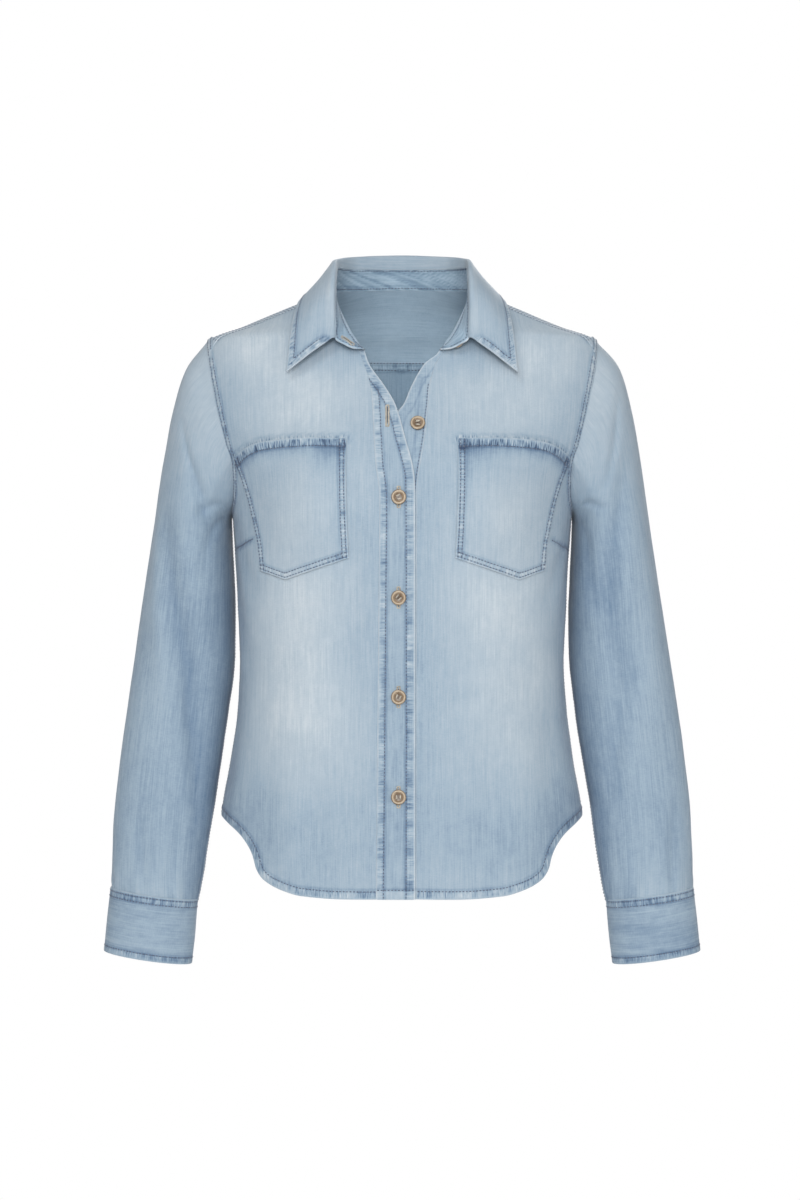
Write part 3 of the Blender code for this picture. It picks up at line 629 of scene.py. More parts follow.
def yoke_grid():
    """Half the yoke as a grid, from its seam on the back to the neck and the front shoulder seam."""
    _, arm_z = shoulder_seam_ends()
    neck = divide(back_neck_line(), even(BACK_NECK_STEPS))[::-1]
    top = join(neck, divide(shoulder_line(), spread((ACROSS - BACK_NECK_STEPS, YOKE_REST_TOP), "end")))
    centre = line_of(math.pi, np.linspace(YOKE_Z, BACK_NECK_Z, FINE))
    arm = join(arm_line("back", YOKE_Z, SHOULDER_Z), arm_line("front", SHOULDER_Z, arm_z))
    rows = spread(YOKE_DEPTH, "start", "end")
    lines = (yoke_seam(), top, divide(centre, rows), divide(arm, rows))
    grid = patch(*(plan(line) for line in lines))
    return np.concatenate([grid, height_at(grid[..., 0], grid[..., 1])[..., None]], axis=-1)


def back_grid():
    """Half the back below the yoke, from the centre to the side."""
    hem = hem_line(CENTRE_BACK, back=True)
    centre = line_of(math.pi, np.linspace(hem[0, 1], YOKE_Z, FINE))
    side_part = divide(side_line(), spread(SIDE, "start"))
    side = join(side_part, divide(arm_line("back", ARMPIT_Z, YOKE_Z), even(BACK_ARM_STEPS)))
    middle = divide(centre, spread((SIDE[0] + BACK_ARM_STEPS, BORDER[1]), "start", "end"))
    seam = yoke_seam()
    across = shares_of(on_body(seam))
    return patch(divide(hem, across), seam, middle, side, across, HEM_REACH)


def armhole_points():
    """The armhole from the shoulder by the front to the armpit and up the back, without its last point."""
    _, arm_z = shoulder_seam_ends()
    ahead, behind = arm_line("front", ARMPIT_Z, arm_z), arm_line("back", ARMPIT_Z, YOKE_Z)
    over = join(arm_line("back", YOKE_Z, SHOULDER_Z), arm_line("front", SHOULDER_Z, arm_z))
    ahead, behind, over = (divide(line, even(n)) for line, n in zip((ahead, behind, over), ARMHOLE_STEPS))
    return on_body(join(ahead[::-1], behind, over)[:-1])


# Sleeves and cuffs


def ring(rows, at, angle):
    """Points round a sleeve at row number at. Angle 0 is its outer side, a quarter turn on is its front."""
    index = range(len(rows))
    outer_x, outer_z, inner_x, inner_z, ahead, behind = (
        spline(index, column(rows, name), at) for name in Cuffward._fields
    )
    x = (outer_x + inner_x) / 2 + (outer_x - inner_x) / 2 * np.cos(angle)
    z = (outer_z + inner_z) / 2 + (outer_z - inner_z) / 2 * np.cos(angle)
    y = (ahead + behind) / 2 + (ahead - behind) / 2 * np.sin(angle)
    return np.stack(np.broadcast_arrays(x, y, z), axis=-1)


def ring_centre(rows, at):
    return (ring(rows, at, 0.0) + ring(rows, at, math.pi)) / 2


def fold_depth(folds, angle, share):
    """How deep those folds are at an angle and a share of the sleeve's length."""
    deep = 0
    for fold in folds:
        along = (share - fold.share_0) / (fold.share_1 - fold.share_0)
        middle = mix(fold.turn_0, fold.turn_1, np.clip(along, 0, 1))
        deep = deep + fold.depth * dying_out(along) * near(angle - middle, fold.width)
    return deep


def loop_angles(loop):
    """For each armhole point, the sleeve angle that it belongs to: half a turn at the armpit."""
    lengths = travelled(np.concatenate([loop, loop[:1]]))
    top = int(np.argmin(abs(loop[:, 1]) + 1e3 * (loop[:, 2] < SHOULDER_Z - 2)))
    pit = int(np.argmin(loop[:, 2]))
    after_top = (lengths[:-1] - lengths[top]) % lengths[-1]
    to_pit = after_top[pit]
    beyond = 1 + (after_top - to_pit) / (lengths[-1] - to_pit)
    return math.pi * np.where(after_top <= to_pit, after_top / to_pit, beyond)


def sleeve(loop, angle, share, deep):
    """Points of the wearer's left sleeve, folded that deep, at shares of its length from the armhole."""
    at = share * (len(SLEEVE) - 1)
    round_it = ring(SLEEVE, at, angle)
    keep = 1 - ramp(at, 0, CAP_ROWS)
    round_it = round_it + keep[..., None] * (loop - ring(SLEEVE, 0.0, angle))
    return beside_body(round_it + unit(ring_centre(SLEEVE, at) - round_it) * deep[..., None])


def beside_body(points):
    """The points, with those below the armpit kept clear of the body's side."""
    x, y, z = np.moveaxis(points, -1, 0)
    wide, deep, n = section(z, y >= 0)
    side = wide * np.clip(1 - (abs(y) / deep) ** n, 0, 1) ** (1 / n)
    nearest = side + SLEEVE_CLEAR * ramp(z, CLEAR_FROM_Z, ARMPIT_Z + 2)
    return np.stack([np.where(z < CLEAR_FROM_Z, np.maximum(x, nearest), x), y, z], axis=-1)


def sleeve_grid(side):
    """One sleeve, with its angles, shares and fold depths. Its first row lies under the armhole seam."""
    loop = armhole_points()
    angle = loop_angles(loop)[None]
    share = spread(SLEEVE_RUN, "start", "end")[:, None]
    deep = fold_depth(SLEEVE_FOLDS[side], angle, share)
    full = CUFF_FULLNESS * near(share - FULLEST, FULL_REACH) * (1 + 0.5 * np.sin(CUFF_PLEATS * angle + side))
    caught = CUFF_PINCH * ramp(share, *CUFF_PINCHED)
    grid = sleeve(loop[None], angle, share, deep - full + caught)
    under = np.clip(-np.cos(angle[0]), 0, 1)[:, None]
    down = unit(grid[ARMHOLE_ROWS] - grid[0])
    grid[0] = grid[0] - down * ARMHOLE_TUCK + under * (PANEL, 0, 0)
    below = grid[-1] + unit(grid[-1] - grid[-2]) * CUFF_TUCK
    return np.concatenate([grid, below[None]]) * (side, 1, 1), angle, share, deep


def cuff_rise(t):
    """How far the cuff stands off its middle form, from its under end at t = 0 to its upper end at 1."""
    return (BAND + 2 * LAYER_GAP) * (ramp(t, *CUFF_STEP) - 0.5)


def cuff_grid():
    """A band that laps over itself, its upper end the outer one."""
    share = spread(CUFF_ROUND, "start", "end")
    angle = mix(CUFF_END - 2 * math.pi - CUFF_LAP, CUFF_END, share)
    rise = cuff_rise(share) + CUFF_OUT
    rows = (len(CUFF) - 1) * spread(CUFF_HEIGHT, "start", "end")[:, None]
    grid = ring(CUFF, rows, angle[None])
    return grid + unit(grid - ring_centre(CUFF, rows)) * rise[None, :, None]


# The collar


def collar_line(name, share):
    """A line of the collar, read smoothly on past the centre back, where the other half begins."""
    rows = [row for row in COLLAR if getattr(row, name) is not None]
    points = np.array([getattr(row, name) for row in rows], float)
    points = np.concatenate([points, points[-2:-1] * (-1, 1, 1)])
    shares = [row.share for row in rows] + [2 - rows[-2].share]
    return np.stack([spline(shares, points[:, k], share) for k in range(3)], axis=-1)


def neck_line_to_back():
    """The neck seam from the end of the collar to the centre back."""
    neck_z, _ = shoulder_seam_ends()
    whole = join(neck_line(NECK[0].z, neck_z), back_neck_line())
    return divide(whole, spread(STAND_ALONG, "start"))


def stand_grid():
    seam = neck_line_to_back()
    place, share = on_body(seam), shares_of(on_body(seam))
    top = collar_line("stand", share)
    stands = ramp(share, *STAND_RISES)[:, None]
    away = unit(mix(outward(seam[:, 0], seam[:, 1]), unit(top - place), stands))
    root = place + away * STAND_SINK
    middle = mix(place + away * mix(*STAND_ROOT, stands), top, 0.5)
    return curve_through([root, middle, top], even(STAND_ROWS))


def curve_through(lines, shares):
    """Rows of a smooth surface through those lines, at shares of its height."""
    steps = [np.linalg.norm(b - a, axis=-1).mean() for a, b in zip(lines, lines[1:])]
    at = np.concatenate([[0], np.cumsum(steps)]) / sum(steps)
    lines = np.stack(lines)
    flat = lines.reshape(len(lines), -1)
    rows = np.stack([spline(at, flat[:, k], shares) for k in range(flat.shape[1])], axis=1)
    return rows.reshape(len(shares), *lines.shape[1:])


def leaf_grid():
    """The folded collar: up from the stand, over the roll and down to the outer edge."""
    share = mix(LEAF_START, 1, spread(LEAF_ALONG, "start"))
    stand, roll, fall, edge = (collar_line(name, share) for name in ("stand", "roll", "fall", "edge"))
    rise = unit(roll - stand)
    crest, turned = (mix(roll, fall, part) + rise * up for part, up in LEAF_TURN)
    middle = mix(fall, edge, 0.5)
    lines = [stand - rise * LEAF_SINK, roll, crest, turned, fall, middle, edge]
    return curve_through(lines, spread(LEAF_DEPTH, "end"))


# How the torso hangs, where it has faded, and where shade is painted on it

INNER_WASH = 0.70
EDGE_WEAR = 0.14

# Creases of the torso. Arcs run round the body from the centre front, positive to the wearer's left, with the
# side seams at about 230 and the centre back at 460. A crease of less than no depth is a ridge.
Crease = namedtuple("Crease", "arc_0 z_0 arc_1 z_1 width depth")
CREASES = rows_of(
    Crease,
    (205, -222, 150, -300, 11, 1.8),
    (212, -245, 175, -345, 12, 1.5),
    (190, -350, 198, -470, 16, 1.6),
    (150, -400, 162, -560, 20, 1.5),
    (88, -440, 78, -590, 24, 1.4),
    (60, -300, 42, -430, 18, 0.8),
    (120, -470, 118, -580, 18, -0.9),
    (-200, -224, -158, -290, 10, 1.6),
    (-214, -240, -168, -372, 14, 1.7),
    (-184, -380, -204, -500, 15, 1.5),
    (-140, -420, -148, -570, 22, 1.6),
    (-74, -460, -92, -588, 22, 1.2),
    (-52, -280, -60, -400, 17, 0.7),
    (-112, -480, -108, -580, 18, -0.9),
    (266, -226, 338, -338, 12, 3.0),
    (276, -250, 312, -380, 13, 2.2),
    (258, -350, 296, -480, 14, 2.4),
    (330, -320, 350, -575, 19, 3.4),
    (405, -290, 392, -530, 21, 3.0),
    (366, -430, 372, -590, 15, -1.8),
    (375, -100, 352, -250, 17, 2.0),
    (250, -372, 318, -386, 8, 1.9),
    (254, -400, 304, -398, 8, 1.5),
    (-262, -222, -326, -318, 11, 2.8),
    (-272, -262, -318, -400, 14, 2.4),
    (-266, -390, -288, -500, 14, 2.2),
    (-324, -340, -342, -560, 18, 3.0),
    (-392, -310, -410, -580, 22, 3.3),
    (-366, -450, -374, -590, 14, -1.6),
    (-352, -96, -370, -262, 18, 2.1),
    (-248, -358, -300, -368, 8, 1.8),
    (-252, -386, -322, -402, 9, 1.6),
    (448, -370, 456, -585, 20, 2.6),
)
CREASE_SHADE = 0.026  # painted shade: how much darker the cloth is for each millimetre of crease depth, and lighter on ridges as painted highlight
HANG_TOP = (-105, -72)  # the creases die out between these heights

# Spots painted lighter or darker on the torso. Most are fading of the wash; the darker sides (arcs about
# ±217) and the darker spots under the collar's ends (arcs ±66 at z −62) are painted shade.
Fade = namedtuple("Fade", "arc z across up amount")
FADES_AND_SHADE = rows_of(
    Fade,
    (98, -100, 58, 48, 0.15),
    (-96, -104, 60, 50, 0.16),
    (108, -374, 56, 112, 0.19),
    (-106, -384, 60, 112, 0.20),
    (84, -290, 52, 34, 0.09),
    (-84, -292, 50, 36, 0.08),
    (0, -330, 30, 330, -0.08),
    (216, -330, 40, 250, -0.20),
    (-218, -330, 42, 250, -0.21),
    (150, -524, 110, 50, -0.135),
    (-150, -524, 110, 50, -0.12),
    (150, -48, 62, 34, 0.15),
    (-150, -48, 62, 34, 0.17),
    (66, -62, 34, 22, -0.12),
    (-66, -62, 34, 22, -0.10),
    (380, -160, 62, 70, 0.12),
    (-372, -165, 66, 72, 0.12),
    (460, -400, 90, 120, 0.10),
    (-460, -400, 90, 120, 0.10),
    (330, -420, 50, 110, 0.05),
    (-318, -430, 50, 110, 0.05),
)
FADE_EDGE = 1.35  # above 1, a spot of fade or of painted shade is flatter within and stops more sharply
TORSO_WASH = 0.60
ARC_TURNS, ARC_HEIGHTS = 90, 60
# Soft unevenness of cloth and of its wash, each in layers of (how much, what size, seed)
EASE = ((0.75, 70, 11), (0.28, 24, 13))
MOTTLE = ((0.035, 46, 3), (0.03, 15, 5), (0.02, 6, 7))


def arc_table():
    """How far round the body each turn is, at a ladder of heights."""
    turns = np.linspace(0, math.pi, ARC_TURNS)
    heights = np.linspace(BODY[0].z, BODY[-1].z, ARC_HEIGHTS)
    points = body(turns[None], heights[:, None])
    steps = np.linalg.norm(np.diff(points[..., :2], axis=1), axis=-1)
    return turns, heights, np.concatenate([np.zeros((ARC_HEIGHTS, 1)), steps.cumsum(axis=1)], axis=1)


def arc_at(turn, z):
    """The distance round the body from the centre front, with the turn's own sign."""
    turns, heights, arcs = ARCS
    column_at = abs(turn) / turns[-1] * (ARC_TURNS - 1)
    row_at = np.clip((z - heights[0]) / (heights[-1] - heights[0]), 0, 1) * (ARC_HEIGHTS - 1)
    j = np.clip(column_at.astype(int), 0, ARC_TURNS - 2)
    i = np.clip(row_at.astype(int), 0, ARC_HEIGHTS - 2)
    s, t = column_at - j, row_at - i
    low = mix(arcs[i, j], arcs[i, j + 1], s)
    high = mix(arcs[i + 1, j], arcs[i + 1, j + 1], s)
    return np.sign(turn) * mix(low, high, t)


def arc_of(points):
    return arc_at(np.arctan2(points[..., 0], -points[..., 1]), points[..., 2])


def arc_from_back(points):
    """The distance round the body from the centre back, negative on the wearer's right."""
    whole = arc_at(np.full(points.shape[:-1], math.pi), points[..., 2])
    arc = arc_of(points)
    return np.where(arc < 0, -1, 1) * (whole - abs(arc))


def drape(turn, z):
    """How far the torso's cloth stands off its form, folded by its creases."""
    turn, z = np.broadcast_arrays(np.asarray(turn, float), np.asarray(z, float))
    arc = arc_at(turn, z)
    off = np.zeros(arc.shape)
    for crease in CREASES:
        run, rise = crease.arc_1 - crease.arc_0, crease.z_1 - crease.z_0
        along = ((arc - crease.arc_0) * run + (z - crease.z_0) * rise) / (run**2 + rise**2)
        t = np.clip(along, 0, 1)
        gap = np.hypot(arc - crease.arc_0 - t * run, z - crease.z_0 - t * rise)
        off = off - crease.depth * dying_out(along) * near(gap, crease.width)
    return off * (1 - ramp(z, *HANG_TOP))


ARCS = arc_table()


def off_spot(x, z, fade):
    """How far places are from the middle of a faded spot, or of a spot of painted shade, by its own reach."""
    return np.hypot((x - fade.arc) / fade.across, (z - fade.z) / fade.up)


def torso_fade_and_shade(points):
    """How faded the torso is, with painted shade at its sides, under the collar and in its creases, and
    painted highlight on its ridges.
    """
    arc, z = arc_of(points), points[..., 2]
    turn = np.arctan2(points[..., 0], -points[..., 1])
    wash = np.full(arc.shape, TORSO_WASH)
    for fade in FADES_AND_SHADE:
        wash = wash + fade.amount * near(off_spot(arc, z, fade) ** FADE_EDGE, 1.0)
    return wash + CREASE_SHADE * drape(turn, z) + mottle(points)


def lumps(points, layers):
    return sum(much * cloudy(points, size, seed) for much, size, seed in layers)


def mottle(points):
    return lumps(points, MOTTLE)


def ease(points):
    return lumps(points, EASE)


# Cloth as a fine grid


WAVE_VALUES = 997
# Large numbers that scatter the corners of a lattice evenly
CORNER_MIX, SEED_MIX = (73856093, 19349663, 83492791), 26544357
SCATTER, SCATTER_STEP = 1103515245, 12345


def wave(at, pitch, seed):
    """Smooth uneven noise along a line, from -1 to 1, with one swing about every pitch."""
    values = np.random.default_rng(seed).uniform(-1, 1, WAVE_VALUES)
    cell = np.asarray(at) / pitch
    low = np.floor(cell).astype(int)
    part = ramp(cell - low, 0, 1)
    return mix(values[low % WAVE_VALUES], values[(low + 1) % WAVE_VALUES], part)


def cloudy(points, size, seed):
    """Smooth noise in space, from -1 to 1, with lumps about that size."""
    cell = points / size
    low = np.floor(cell).astype(np.int64)
    part = ramp(cell - low, 0, 1)
    total = 0
    for corner in itertools.product((0, 1), repeat=3):
        mixed = np.bitwise_xor.reduce((low + corner) * CORNER_MIX, axis=-1) ^ (seed * SEED_MIX)
        value = ((mixed * SCATTER + SCATTER_STEP) >> 9 & 0xFFFF) / (0xFFFF / 2) - 1
        total = total + value * np.prod(np.where(corner, part, 1 - part), axis=-1)
    return total


def beside(points, line):
    """For each point, how far it is from a line and how far along the line its nearest place is."""
    flat = points.reshape(-1, 3)
    gap, along = np.full(len(flat), 1e9), np.zeros(len(flat))
    gone = 0.0
    for start, end in zip(line, line[1:]):
        step = end - start
        length = float(np.linalg.norm(step))
        t = np.clip((flat - start) @ step / length**2, 0, 1)
        here = np.linalg.norm(flat - start - t[:, None] * step, axis=1)
        nearer = here < gap
        gap = np.where(nearer, here, gap)
        along = np.where(nearer, gone + t * length, along)
        gone += length
    return gap.reshape(points.shape[:-1]), along.reshape(points.shape[:-1])


def steps_along(points, axis):
    """How far along its own row, or column, each point of a grid is."""
    first = points.take([0], axis=axis)
    return np.linalg.norm(np.diff(points, axis=axis, prepend=first), axis=-1).cumsum(axis=axis)


def grid_normals(points, closed):
    """Unit normals of a grid of points, by their neighbours."""
    if closed:
        wrapped = np.concatenate([points[:, -1:], points, points[:, :1]], axis=1)
        across = wrapped[:, 2:] - wrapped[:, :-2]
    else:
        across = np.gradient(points, axis=1)
    return unit(np.cross(across, np.gradient(points, axis=0)))


def mirrored(half):
    """A whole grid from its half, whose first column is the centre."""
    half = half.copy()
    half[:, 0, 0] = 0
    return np.concatenate([half[:, :0:-1] * (-1, 1, 1), half], axis=1)


def tucked(points, edge, reach, sink):
    """The grid with one more row or column at an edge, which goes on by reach and dips inwards by sink."""
    turned = {"last row": 2, "first column": 1, "last column": 3}[edge]
    grid = np.rot90(points, -turned)
    onward = unit(grid[0] - grid[1])
    centre = np.array([0, 0, 1]) * grid[0][..., 2:]
    more = grid[0] + onward * reach + unit(centre - grid[0]) * sink
    return np.rot90(np.concatenate([more[None], grid]), turned)


OUTSIDE, INSIDE = 1, -1  # the faces of a sheet


class Face:
    """One face of a sheet: how far it is raised, how faded it is with its painted shade and highlight, and
    its rows of stitches.
    """

    def __init__(self, shape, wash):
        self.rise = np.zeros(shape)
        self.wash = np.full(shape, float(wash))
        self.strokes = {"strokes_up": np.zeros(shape), "strokes_across": np.zeros(shape)}
        self.rows = []


class Sheet:
    """A piece of cloth as a grid in millimetres, with what is folded, sewn and worn into it."""

    def __init__(self, name, points, wall, closed=False, centre=None):
        self.name, self.points, self.wall, self.closed = name, points, wall, closed
        normals = grid_normals(points, closed)
        middle = points * (0, 0, 1) if centre is None else centre
        self.turned = float((normals * (points - middle)).sum()) < 0
        self.normals = -normals if self.turned else normals
        shape = points.shape[:2]
        self.lift = np.zeros(shape)  # of the whole cloth
        self.faces = {OUTSIDE: Face(shape, 0), INSIDE: Face(shape, INNER_WASH)}
        self.edge_wear = EDGE_WEAR

    def grain_by(self, across, along):
        self.grain = np.stack(np.broadcast_arrays(across, along), axis=-1)
        return self

    def grain_from_grid(self):
        """Grain measured on the grid itself, with the warp along its rows."""
        return self.grain_by(steps_along(self.points, 0), steps_along(self.points, 1))

    def face_points(self, which):
        away = self.lift + which * (self.wall / 2 + self.faces[which].rise)
        return self.points + self.normals * away[..., None]

    def quads(self):
        """The grid's faces as corner numbers, in the order whose normal is the sheet's own."""
        rows, columns = self.points.shape[:2]
        number = np.arange(rows * columns).reshape(rows, columns)
        after = np.roll(number, -1, axis=1) if self.closed else number[:, 1:]
        before = number if self.closed else number[:, :-1]
        return np.stack([before[:-1], after[:-1], after[1:], before[1:]], axis=-1).reshape(-1, 4)


def edge_loops(sheet):
    """Rows of grid places (i, j) round each free edge."""
    rows, columns = sheet.points.shape[:2]
    if sheet.closed:
        return [[(i, j) for j in range(columns)] for i in (0, rows - 1)]
    bottom = [(0, j) for j in range(columns)]
    right = [(i, columns - 1) for i in range(1, rows)]
    top = [(rows - 1, j) for j in range(columns - 2, -1, -1)]
    left = [(i, 0) for i in range(rows - 2, 0, -1)]
    return [bottom + right + top + left]


def inward_step(sheet, i, j):
    """The grid place next to an edge place, towards the middle of the sheet."""
    rows, columns = sheet.points.shape[:2]
    i_in = min(max(i, 1), rows - 2)
    return i_in, j if sheet.closed else min(max(j, 1), columns - 2)


def build(sheet, finish):
    """The sheet as a closed mesh: two faces and a rounded rim along each free edge."""
    rows, columns = sheet.points.shape[:2]
    count = rows * columns
    flat = sheet.points.reshape(-1, 3)
    places = [sheet.face_points(which).reshape(-1, 3) for which in (OUTSIDE, INSIDE)]
    fades_and_shades = [sheet.faces[which].wash.ravel() for which in (OUTSIDE, INSIDE)]
    quads, grain = sheet.quads(), sheet.grain.reshape(-1, 2)
    quad_grain = grain[quads]
    if sheet.closed:
        last = quads[:, 1] % columns == 0
        width = np.linalg.norm(flat[quads[:, 1]] - flat[quads[:, 0]], axis=-1)
        quad_grain[last, 1:3, 0] = (quad_grain[:, 0, 0] + width)[last, None]
    faces, corners = [quads, quads[:, ::-1] + count], [quad_grain, quad_grain[:, ::-1]]
    number, total = np.arange(count).reshape(rows, columns), 2 * count
    for loop in edge_loops(sheet):
        at = np.array([number[place] for place in loop])
        within = np.array([number[inward_step(sheet, *place)] for place in loop])
        away = unit(flat[at] - flat[within])
        middle = (places[0][at] + places[1][at]) / 2
        rims = [mix(middle, places[k][at], RIM_SHARE) + away * sheet.wall * RIM_OUT for k in (0, 1)]
        worn_and_shaded = fades_and_shades[0][at] + sheet.edge_wear
        edge_grain, size = grain[at], len(at)
        chain = [at, total + np.arange(size), total + size + np.arange(size), at + count]
        chain = chain[::-1] if sheet.closed and loop[0][0] > 0 else chain
        turned = np.roll(edge_grain, -1, axis=0)
        if sheet.closed:
            turned[-1] = 2 * edge_grain[-1] - edge_grain[-2]
        for first, second in zip(chain, chain[1:]):
            faces.append(np.stack([second, np.roll(second, -1), np.roll(first, -1), first], axis=1))
            corners.append(np.stack([edge_grain, turned, turned, edge_grain], axis=1))
        places += rims
        fades_and_shades += [worn_and_shaded, worn_and_shaded - sheet.edge_wear / 3]
        total += 2 * size
    order = slice(None, None, -1) if sheet.turned else slice(None)
    faces, corners = np.concatenate(faces)[:, order], np.concatenate(corners)[:, order]
    made = mesh_from(sheet.name, np.concatenate(places), faces, corners, finish)
    paint(made, "wash", np.clip(np.concatenate(fades_and_shades), 0, 1))
    paint(made, "inner", np.repeat((0.0, 1.0, 0.0), (count, count, total - 2 * count)))
    rim = np.zeros(total - 2 * count)
    for name in ("strokes_up", "strokes_across"):
        strokes = [sheet.faces[which].strokes[name].ravel() for which in (OUTSIDE, INSIDE)]
        paint(made, name, np.concatenate([*strokes, rim]))
    return made


RIM_SHARE, RIM_OUT = 0.62, 0.28  # where a rim's middle points are, by the wall's thickness


def added(name, data):
    """A new object of that data in the scene."""
    made = bpy.data.objects.new(name, data)
    bpy.context.scene.collection.objects.link(made)
    return made


def mesh_from(name, places, faces, corners, finish):
    """A smooth object from arrays: places in millimetres, faces of four corners, and each corner's grain."""
    mesh = bpy.data.meshes.new(name)
    mesh.vertices.add(len(places))
    mesh.vertices.foreach_set("co", (places * MM).ravel())
    mesh.loops.add(faces.size)
    mesh.loops.foreach_set("vertex_index", faces.ravel().astype(np.int32))
    mesh.polygons.add(len(faces))
    mesh.polygons.foreach_set("loop_start", np.arange(0, faces.size, faces.shape[1], dtype=np.int32))
    mesh.polygons.foreach_set("use_smooth", np.ones(len(faces), dtype=bool))
    if corners is not None:
        layer = mesh.uv_layers.new(name="grain")
        layer.data.foreach_set("uv", (corners * MM).ravel())
    mesh.update(calc_edges=True)
    mesh.validate()
    mesh.materials.append(finish)
    return added(name, mesh)


def paint(made, name, values):
    layer = made.data.attributes.new(name, "FLOAT", "POINT")
    layer.data.foreach_set("value", values)


# Seams

# How wide a seam is, how far its plies raise it, where its rows of stitches run, how deep and at what pitch
# it puckers, how much that fades it, how much lighter or darker it is beside the cloth, and how strong
# the strokes across it are
Seam = namedtuple("Seam", "width rise rows pucker pitch fade tone strokes")
FELLED = Seam(6.5, 0.65, (1.6, 6.0), 0.36, 3.8, 0.19, 0.03, 1.0)
YOKE_SEAM = Seam(7.0, 0.5, (1.5, 6.4), 0.30, 4.6, 0.11, 0.03, 0.5)
INNER_YOKE = Seam(7.0, 0.5, (1.4, 6.0), 0.34, 4.0, 0.12, 0.06, 0.7)
# The shoulder seam is sunk, and its darker tone is painted shade in the sunk line.
SHOULDER = Seam(2.4, -0.2, (1.1,), 0.12, 6.0, 0.05, -0.14, 0.2)
SIDE_SEAM = Seam(6.5, 0.45, (1.5, 6.0), 0.24, 5.0, 0.09, 0.02, 0.4)
HEM_SEAM = Seam(8.0, 0.55, (7.2,), 0.36, 4.2, 0.19, -0.03, 1.1)
PLACKET_BORDER = Seam(6.8, 0.0, (6.5,), 0.24, 5.0, 0.19, -0.02, 0.8)
PLACKET_EDGE = Seam(8.0, 0.0, (8.2,), 0.26, 5.5, 0.20, -0.02, 0.8)
UNDER_BORDER = Seam(6.8, 0.0, (1.2,), 0.08, 5.0, 0.06, -0.02, 0.2)
UNDER_EDGE = Seam(8.0, 0.0, (), 0.08, 5.5, 0.06, 0.0, 0.2)
PLACKET_FOOT = Seam(8.5, 0.15, (8.6,), 0.14, 6.0, 0.06, 0.14, 0.2)
CUFF_TOP = Seam(8.0, 0.1, (2.0, 7.6), 0.38, 5.0, 0.18, -0.05, 0.8)
CUFF_FOOT = Seam(6.0, 0.1, (5.6,), 0.30, 5.0, 0.16, -0.02, 0.8)
CUFF_SIDE = Seam(6.0, 0.1, (5.6,), 0.24, 6.0, 0.10, 0.0, 0.4)
LEAF_SEAM = Seam(6.2, 0.1, (5.8,), 0.36, 3.4, 0.22, -0.01, 1.3)
STAND_SEAM = Seam(3.0, 0.0, (2.2,), 0.34, 5.0, 0.19, -0.03, 0.9)
POCKET_SIDE = Seam(6.2, 0.15, (1.8, 5.8), 0.34, 4.4, 0.17, 0.01, 0.8)
POCKET_MOUTH = Seam(8.0, 0.2, (7.8,), 0.40, 3.2, 0.14, -0.10, 1.9)
ABOVE_POCKET = Seam(4.0, 0, (), 0.18, 3.2, 0.08, -0.08, 1.5)
# The dart is sunk, and its darker tone is painted shade in the sunk line.
DART = Seam(1.2, -0.3, (0.6,), 0.10, 9.0, 0.03, -0.14, 0)
EDGE_LIGHT, EDGE_WIDTH = 0.10, 0.9  # the worn line on a seam's edge
LEDGE_SHADE, LEDGE_OFF, LEDGE_WIDTH = 0.13, 1.4, 1.1  # and the painted shadow line beyond its other side, where its raised plies end
LEDGE = (-0.3, 0.9)  # where its plies end, from its width
GROOVE, GROOVE_WIDTH, GROOVE_SHADE = 0.28, 0.75, 0.19
RIPPLES = ((0.65, 0.5), (0.35, 1.7))  # how much of a pucker each ripple is, and its pitch by the seam's own
PUFF_MIDDLE, PUFF_REACH = 0.55, 0.22  # where a seam puckers, by its width
RIPPLE_FADE = 1.3


def runs_along_warp(sheet, line):
    """Whether a line on the sheet runs more along its warp than across it."""
    flat = sheet.points.reshape(-1, 3)
    ends = [((flat - point) ** 2).sum(axis=1).argmin() for point in (line[0], line[len(line) // 2])]
    across, along = abs(np.diff(sheet.grain.reshape(-1, 2)[ends], axis=0))[0]
    return along > across


def sew(sheet, line, seam, seed, which=OUTSIDE):
    """Raises a seam's plies beside the line, puckers them, presses its rows in and fades its high places. It
    paints shade in the pressed rows and a shadow line beyond the plies.
    """
    face = sheet.faces[which]
    gap, along = beside(sheet.points, line)
    face.rise += seam.rise * (1 - ramp(gap - seam.width, *LEDGE))
    ripple = sum(weight * wave(along, seam.pitch * by, seed + i) for i, (weight, by) in enumerate(RIPPLES))
    reach = seam.width * PUFF_REACH
    over = near(np.maximum(abs(gap - seam.width * PUFF_MIDDLE) - reach, 0), reach)
    face.rise += seam.pucker * ripple * over
    face.wash += (seam.fade * ripple * RIPPLE_FADE + seam.tone) * over
    strokes = face.strokes["strokes_across" if runs_along_warp(sheet, line) else "strokes_up"]
    np.maximum(strokes, seam.strokes * over, out=strokes)
    face.wash += EDGE_LIGHT * near(gap, EDGE_WIDTH)
    face.wash -= LEDGE_SHADE * near(gap - seam.width - LEDGE_OFF, LEDGE_WIDTH)
    for row in seam.rows:
        pressed = near(gap - row, GROOVE_WIDTH)
        face.rise -= GROOVE * pressed
        face.wash -= GROOVE_SHADE * pressed
        face.rows.append((line, row))


# Stitches

STITCH_PITCH, STITCH_LENGTH, STITCH_RADIUS, STITCH_PROUD = 3.3, 2.2, 0.50, 0.14
STITCH_SIDES = 5
# A stitch's rings: share of its length from its middle, girth and how deep it is sunk, by its radius
STITCH_RINGS = ((-0.5, 0.25, 1.6), (-0.34, 1.0, 0), (0.34, 1.0, 0), (0.5, 0.25, 1.6))


def evenly(line, pitch):
    """Points along a line at that pitch."""
    return divide(line, even(max(int(travelled(line)[-1] / pitch), 2)), as_it_is)


